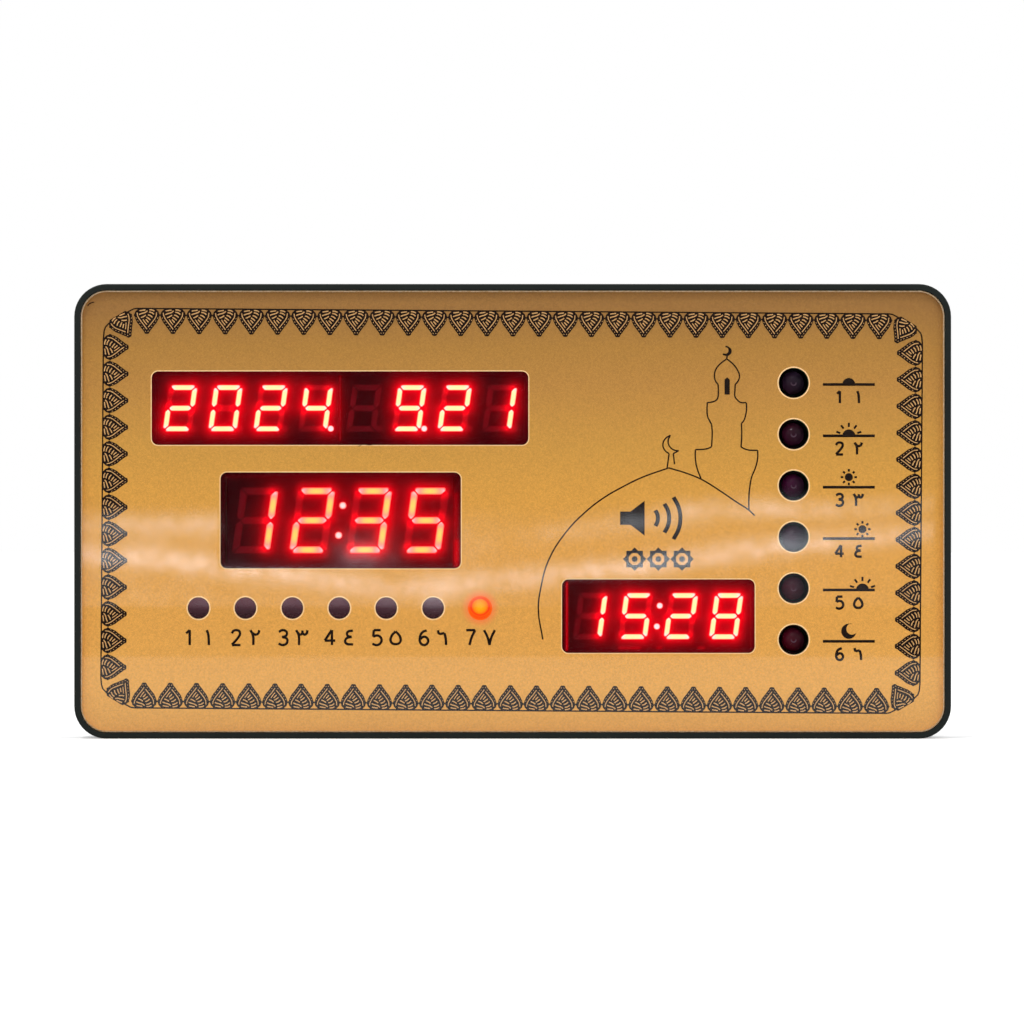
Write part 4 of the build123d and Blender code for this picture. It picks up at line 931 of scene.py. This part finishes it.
def makeFilter():
    low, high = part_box("window_filters")
    bm = bmesh.new()
    for layer in ("glow", "glued"):
        bm.verts.layers.float.new(layer)
    glow, glued = bm.verts.layers.float["glow"], bm.verts.layers.float["glued"]
    inner, outer = filterGlow["glued"]
    for windowName, window in windows.items():
        sources, unlit = [], []
        for name, display in displays.items():
            if display["window"] == windowName:
                digit = display["digit"]
                look = filterGlow["large" if digit is largeDigit else "small"]
                bars, dots = litParts(name)
                half = digit["stroke"] / 2
                sources += [(*axis, half, look, 1.0) for outline, axis in bars]
                sources += [(dot, dot, digit["dot"], look, filterGlow["dotShare"]) for dot in dots]
                unlit += [(*axis, half) for outline, axis in litParts(name, "0")[0]]
        atX, atZ = window["at"]
        width, height = window["size"]
        size = [side + 2 * filterGlow["margin"] for side in window["size"]]
        columns, rows = [int(side / filterGlow["cell"]) for side in size]
        made = uprightGrid(bm, (atX, low.y / mm, atZ), size, columns, rows)
        for v in made:
            x, z = v.co.x / mm, v.co.z / mm
            v[glow] = filterGlow["base"][windowName] + glowAt(x, z, sources, unlit)
            inside = min(width / 2 - abs(x - atX), height / 2 - abs(z - atZ))
            v[glued] = max(0.0, min(1.0, (inner - inside) / (inner - outer)))
        rim = {e for v in made for e in v.link_edges if e.is_boundary}
        side = bmesh.ops.extrude_edge_only(bm, edges=list(rim))["geom"]
        corners = only(side, bmesh.types.BMVert)
        moveBack(bm, corners, (high.y - low.y) / mm)
        for v in corners:
            v[glow] = v[glued] = 0.0
        bmesh.ops.edgeloop_fill(bm, edges=[e for e in only(side, bmesh.types.BMEdge) if e.is_boundary])
    piece = newPiece("windowFilters", bm, newMaterial("filterPvcDyed", filterFilm), "case")
    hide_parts("window_filters")


makeFilter()
print("displays lit")

# call lamps: LED epoxy, cast and dyed: dark glossy domes, each of a slightly other violet or red, with
# painted shade darker on the right, and the small bowl that holds the chip painted as light shining faintly
# through
callLamp = {
    "shares": (0.0, 0.2, 0.4, 0.6, 0.8, 1.0),  # from the lowest lamp to the highest
    "shades": ("#400210", "#3c141f", "#301a2a", "#330925", "#2c0d1a", "#1f1522"),
    # painted shade: each dome darkens towards its right side, to this colour, across from and to in mm, by
    # this share
    "deep": "#070b10", "deepFrom": -1.5, "deepTo": 3.5, "deepShare": 0.8,
    # painted highlight: the chip's bowl shows as a ring of reflected light, only its lower half
    "reach": 4, "bowl": (0.1, 0.18, 0.27), "bowlColour": "#4c3a45",  # ring of light, in shares of the reach
    "bowlTop": (0.4, -0.5),  # only its lower half shows
    "rimFrom": 2.2, "rimTo": 3.8, "rimLift": 1.6,  # the steep rim gathers light from inside
}


def lampEpoxy(tree):
    low, high = callLamps[-1][0].z, callLamps[0][1].z
    x0, z0 = middle(callLamps[-1])
    pitch = (middle(callLamps[0])[1] - z0) / (len(callLamps) - 1) * mm
    tone = ramp(tree, remap(tree, place(tree, "Z"), low, high), callLamp["shares"], callLamp["shades"])
    # place within one lamp
    centred = addNode(tree, "Mapping", {"Vector": place(tree), "Location": (-x0 * mm, 0, -z0 * mm)})
    centred = addNode(tree, "SeparateXYZ", {0: centred}).outputs
    up = maths(tree, "WRAP", centred["Z"], pitch / 2, -pitch / 2)
    flat = addNode(tree, "CombineXYZ", {"X": centred["X"], "Y": up})
    out = addNode(tree, "VectorMath", {0: flat}, operation="LENGTH").outputs["Value"]
    deepFrom, deepTo, rimFrom, rimTo = [callLamp[n] * mm for n in ("deepFrom", "deepTo", "rimFrom", "rimTo")]
    # painted shade: darker towards the right of each dome
    rightShaded = mix(tree, remap(tree, centred["X"], deepFrom, deepTo, 0.0, callLamp["deepShare"]), tone,
                callLamp["deep"])
    # painted light: the steep rim is made lighter, as if it gathered light from inside
    lift = remap(tree, out, rimFrom, rimTo, 1.0, callLamp["rimLift"])
    lifted = addNode(tree, "HueSaturation", {"Value": lift, "Color": rightShaded})
    share = maths(tree, "DIVIDE", out, callLamp["reach"] * mm)
    # painted highlight: the lower half of the chip's bowl, as a faint ring of light
    ring = ramp(tree, share, callLamp["bowl"], ("#000000", "#ffffff", "#000000"))
    below = remap(tree, up, *[z * mm for z in callLamp["bowlTop"]])
    seen = mix(tree, maths(tree, "MULTIPLY", ring, below), lifted, callLamp["bowlColour"])
    return principled(tree, seen, 0.12, 0.12)


dress(newMaterial("lampEpoxyCast", lampEpoxy), *[f"prayer_lamp_{n}" for n in range(1, 7)])
diffused = newMaterial("lampEpoxyDiffused", dyedEpoxy, ("#7d1f18", "#9a2f22"), 0.3, 3.0)
dress(diffused, *[f"weekday_lamp_{n}" for n in range(1, 8)])

# day lamps sit behind small windows of translucent violet-brown ink; the last one is lit
dayWindow = {
    "radius": 3.33, "thick": 0.1, "lit": 7, "behind": 0.2,
    "shares": (0.0, 0.08, 0.4, 0.52, 0.66, 0.9, 1.0),  # of the window's height
    "shades": ("#220806", "#361a1e", "#3e222a", "#482830", "#542e38", "#5e3640", "#643c3e"),
    "heats": (0.0, 0.1, 0.19, 0.28, 0.42, 0.66, 1.0),  # from the rim of the lit one to its middle
    "glow": ("#ff5200", "#ff6200", "#fb2400", "#ff4a00", "#ff7800", "#ff9a00", "#ffb000"),
    "steps": (0.25, 0.5, 0.75, 1.0), "stepWidth": 0.2,  # warmth of each step inwards, share of the radius
    "hotspot": 0.34,  # how much the light gathers above the middle
    "edge": 0.1,  # warmth of the film's cut edge round it
}


def dayInk(tree, lit):
    # transparent screen ink: a smoked violet-brown, lighter where it catches the room from above
    if lit:
        glow = ramp(tree, attribute(tree, "warmth"), dayWindow["heats"], dayWindow["glow"])
        return principled(tree, "#5a0c04", 0.4, 0.1, **{"Emission Color": glow, "Emission Strength": 1.0})
    z, radius = middle(dayLamps[0])[1], dayWindow["radius"]
    share = remap(tree, place(tree, "Z"), (z - radius) * mm, (z + radius) * mm)
    tone = ramp(tree, share, dayWindow["shares"], dayWindow["shades"])
    return principled(tree, tone, 0.35, 0.15, Alpha=0.9)


def makeDayWindows():
    radius, rowZ = dayWindow["radius"], middle(dayLamps[0])[1]
    for lit in (False, True):
        bm = bmesh.new()
        warmth = bm.verts.layers.float.new("warmth")
        for number, box in enumerate(dayLamps, 1):
            if (number == dayWindow["lit"]) == lit:
                x, z = middle(box)
                uprightDisc(bm, (x, filmFront + dayWindow["behind"], z), radius)
        raised = bmesh.ops.extrude_face_region(bm, geom=bm.faces[:])["geom"]
        moveBack(bm, only(raised, bmesh.types.BMVert), -dayWindow["thick"])
        top = only(raised, bmesh.types.BMFace)
        for share in dayWindow["steps"]:
            bmesh.ops.inset_individual(bm, faces=top, thickness=radius * dayWindow["stepWidth"] * mm)
            for v in {v for f in top for v in f.verts}:
                v[warmth] = share + dayWindow["hotspot"] * (v.co.z / mm - rowZ) / radius
        material = newMaterial("dayInkGlowing" if lit else "dayInkTranslucent", dayInk, lit)
        newPiece("dayLampWindowLit" if lit else "dayLampWindows", bm, material, "case")
    bm = bmesh.new()
    warmth = bm.verts.layers.float.new("warmth")
    openRings(bm, addHoles(bm, dayLamps[-1:], cutEdge["dayHole"]), cutEdge["holeWidth"])
    raiseEdges(bm)
    for v in bm.verts:
        v[warmth] = dayWindow["edge"]
    newPiece("dayLampEdgeLit", bm, material, "case")


makeDayWindows()
print("lamps made")


def boardMask(tree):
    # glass epoxy, laminated, under green solder mask: glossy, with fine copper tracks shining through
    flat = addNode(tree, "Mapping", {"Vector": place(tree), "Rotation": (radians(90), 0, 0)})
    tracks = addNode(tree, "TexBrick", {
        "Vector": flat, "Scale": 1.0, "Brick Width": 9 * mm, "Row Height": 1.27 * mm,
        "Mortar Size": 0.35 * mm, "Color1": "#0f4a26", "Color2": "#11502a", "Mortar": "#176034",
    }).outputs
    return principled(tree, tracks["Color"], 0.3, Normal=bump(tree, tracks["Fac"], 0.6, 0.03))


def ribbonCable(tree):
    # PVC ribbon, extruded: grey, ribbed along its cores, which lie 1.27 mm apart
    bandsPerUnit = 3.18  # that the wave texture lays at scale 1
    scale = 1 / (1.27 * mm) / bandsPerUnit
    waves = addNode(tree, "TexWave", {"Vector": place(tree), "Scale": scale, "Detail": 0.0},
                    bands_direction="X")
    cores = waves.outputs["Fac"]
    tone = ramp(tree, cores, (0.2, 0.8), ("#7d8083", "#a7aaab"))
    return principled(tree, tone, 0.45, Normal=bump(tree, cores, 1.0, 0.2))


# the jacket of a cell from end to end: tin, copper colour, green
jacket = {
    "shares": (0.0, 0.03, 0.2, 0.215, 0.785, 0.8, 0.97, 1.0),
    "tones": ("#b8bcbe", "#c98a4a", "#c98a4a", "#153a26", "#153a26", "#c98a4a", "#c98a4a", "#b8bcbe"),
}


def cellJacket(tree):
    # PET jacket, shrunk on a steel can: glossy green with a copper-coloured band at each end
    low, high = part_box("battery_cells")
    tone = ramp(tree, remap(tree, place(tree, "X"), low.x, high.x), jacket["shares"], jacket["tones"])
    return principled(tree, tone, 0.25, Normal=bump(tree, noise(tree, 3), 0.4, 0.03))


dress(newMaterial("boardGlassEpoxyMasked", boardMask), "main_board", "button_board")
dress(newMaterial("ribbonPvcExtruded", ribbonCable), "button_cable")
dress(newMaterial("cellJacketShrunk", cellJacket), "battery_cells")
print("inner parts dressed")

# stage: floor, soft light, and a card on the lens side with streaks of light, which only reflections see
stage = {
    "floorRadius": 12, "floorColour": "#f4f4f4", "floorLift": 0.3, "floorShine": 0.5, "roomLevel": 0.91,
    "key": {"at": (-0.5, -1.5, 1.8), "size": 0.3, "watts": 13},
    "fill": {"at": (1.1, -1.4, 0.7), "size": 1.2, "watts": 7.5},
    "lightAim": (0, 0, 0.07),
    # the card shows in the clear sheet, which gives back about a thirteenth of its light
    "card": {"distance": 1480, "height": 70, "size": (480, 300), "cell": 1.5, "giveBack": 0.077,
             "light": "#e8f0fa", "broken": (0.55, 1.45)},
    # streaks of light, where they show on the face: x, z, white that they add
    "streakWidth": 3.1,
    "streaks": [
        [(-140, 66.5, 0.07), (-112, 65.5, 0.13), (-88, 66, 0.18)],
        [(-4, 62, 0), (14, 63.5, 0.06), (40, 67, 0.09), (52, 69.5, 0.19), (64, 70.5, 0.12), (76, 71, 0.19),
         (95, 70, 0.12), (130, 72.5, 0.05)],
        [(-140, 57.5, 0.13), (-110, 55.5, 0.23), (-78, 51.5, 0.26), (-53, 48.8, 0.2), (-38, 46, 0.11),
         (-28, 46.5, 0.17), (-7, 48.6, 0.16), (5, 49.5, 0.21), (40, 53, 0.24), (64, 57, 0.23),
         (95, 60.5, 0.2), (130, 64, 0.09)],
        [(-32, 43.5, 0), (-24, 43.5, 0.05), (-16, 43.5, 0)],
    ],
    # a thin veil between two heights: x, white that it adds
    "veil": [(-140, 0.03), (-118, 0.045), (-80, 0.035), (-45, 0.045), (-20, 0.06), (0, 0.015), (60, 0.02),
             (130, 0.01)],
    "veilEdges": (40.3, 41.2, 62, 72),
    # over the dark windows they hardly show, but for one spot: x, z, half sizes, white that it adds
    "overWindow": 0.03, "windowMargin": 0.3,
    "spot": (-46, 55.5, 8, 6, 0.08),
}


def rowValue(points, x):
    # value of a row of points at x, and nothing beyond its ends
    for (x0, *start), (x1, *end) in zip(points, points[1:]):
        if x0 <= x < x1:
            share = (x - x0) / (x1 - x0)
            return [s + share * (e - s) for s, e in zip(start, end)]


def streakLevel(x, z):
    level = 0.0
    for streak in stage["streaks"]:
        spot = rowValue(streak, x)
        if spot:
            level += spot[1] * exp(-((z - spot[0]) / stage["streakWidth"]) ** 2)
    low, lowFull, highFull, high = stage["veilEdges"]
    within = min((z - low) / (lowFull - low), (high - z) / (high - highFull), 1.0)
    if within > 0:
        level += within * (rowValue(stage["veil"], x) or [0.0])[0]
    for window in windows.values():
        offX = abs(x - window["at"][0]) - window["size"][0] / 2
        offZ = abs(z - window["at"][1]) - window["size"][1] / 2
        if max(offX, offZ) < stage["windowMargin"]:
            spotX, spotZ, halfX, halfZ, white = stage["spot"]
            off = ((x - spotX) / halfX) ** 2 + ((z - spotZ) / halfZ) ** 2
            return level * stage["overWindow"] + white * exp(-off)
    return level


def floorPaint(tree):
    path = addNode(tree, "LightPath").outputs
    paint = addNode(tree, "BsdfDiffuse", {"Color": stage["floorColour"]})
    lift = maths(tree, "MULTIPLY", path["Is Camera Ray"], stage["floorLift"])
    white = glowing(tree, paint, "#ffffff", lift)
    dim = addNode(tree, "Emission", {"Color": "#ffffff", "Strength": stage["floorShine"]})
    return addNode(tree, "MixShader", {0: path["Is Glossy Ray"], 1: white, 2: dim})


def cardPaper(tree):
    broken = remap(tree, noise(tree, 6, 3.0), *noiseRange, *stage["card"]["broken"])
    level = maths(tree, "MULTIPLY", attribute(tree, "streak"), broken)
    return addNode(tree, "Emission", {"Color": stage["card"]["light"], "Strength": level})


def room(tree):
    path = addNode(tree, "LightPath").outputs
    seen = maths(tree, "MAXIMUM", path["Is Camera Ray"], path["Is Glossy Ray"])
    seen = maths(tree, "MAXIMUM", seen, path["Is Transmission Ray"])
    light = addNode(tree, "Background", {"Color": "#ffffff", "Strength": stage["roomLevel"]})
    backdrop = addNode(tree, "Background", {"Color": "#ffffff", "Strength": 1.0})
    return addNode(tree, "MixShader", {0: seen, 1: light, 2: backdrop})


def makeFloor():
    bm = bmesh.new()
    bmesh.ops.create_circle(bm, cap_ends=True, segments=96, radius=stage["floorRadius"])
    floor = newObject("floor", bm, newMaterial("floorPaintRolled", floorPaint))


def makeCard():
    card = stage["card"]
    bm = bmesh.new()
    streak = bm.verts.layers.float.new("streak")
    columns, rows = [int(side / card["cell"]) for side in card["size"]]
    made = uprightGrid(bm, (0, -card["distance"], card["height"]), card["size"], columns, rows)
    # from the card to the place on the face where the lens sees it
    aimX, aimZ = cameraSetup["aim"]
    reach = 1 + (card["distance"] + faceFront / mm) / cameraSetup["distance"]
    for v in made:
        x, z = aimX + (v.co.x / mm - aimX) / reach, aimZ + (v.co.z / mm - aimZ) / reach
        v[streak] = streakLevel(x, z) / card["giveBack"]
    lensCard = newObject("lensCard", bm, newMaterial("cardPaperPainted", cardPaper))
    lensCard.visible_camera = lensCard.visible_diffuse = lensCard.visible_shadow = False


def makeLights():
    for name in ("key", "fill"):
        lamp = stage[name]
        data = bpy.data.lights.new(name, "AREA")
        data.size = lamp["size"]
        data.energy = lamp["watts"]
        light = bpy.data.objects.new(name, data)
        light.location = lamp["at"]
        towards = Vector(stage["lightAim"]) - light.location
        light.rotation_euler = towards.to_track_quat("-Z", "Y").to_euler()
        light.visible_glossy = name == "key"
        bpy.context.scene.collection.objects.link(light)
    world = bpy.data.worlds.new("room")
    world.use_nodes = True
    world.node_tree.nodes.clear()
    addNode(world.node_tree, "OutputWorld", {"Surface": room(world.node_tree)})
    bpy.context.scene.world = world


makeFloor()
makeCard()
makeLights()
bpy.context.scene.view_settings.view_transform = "Standard"
print("stage set")
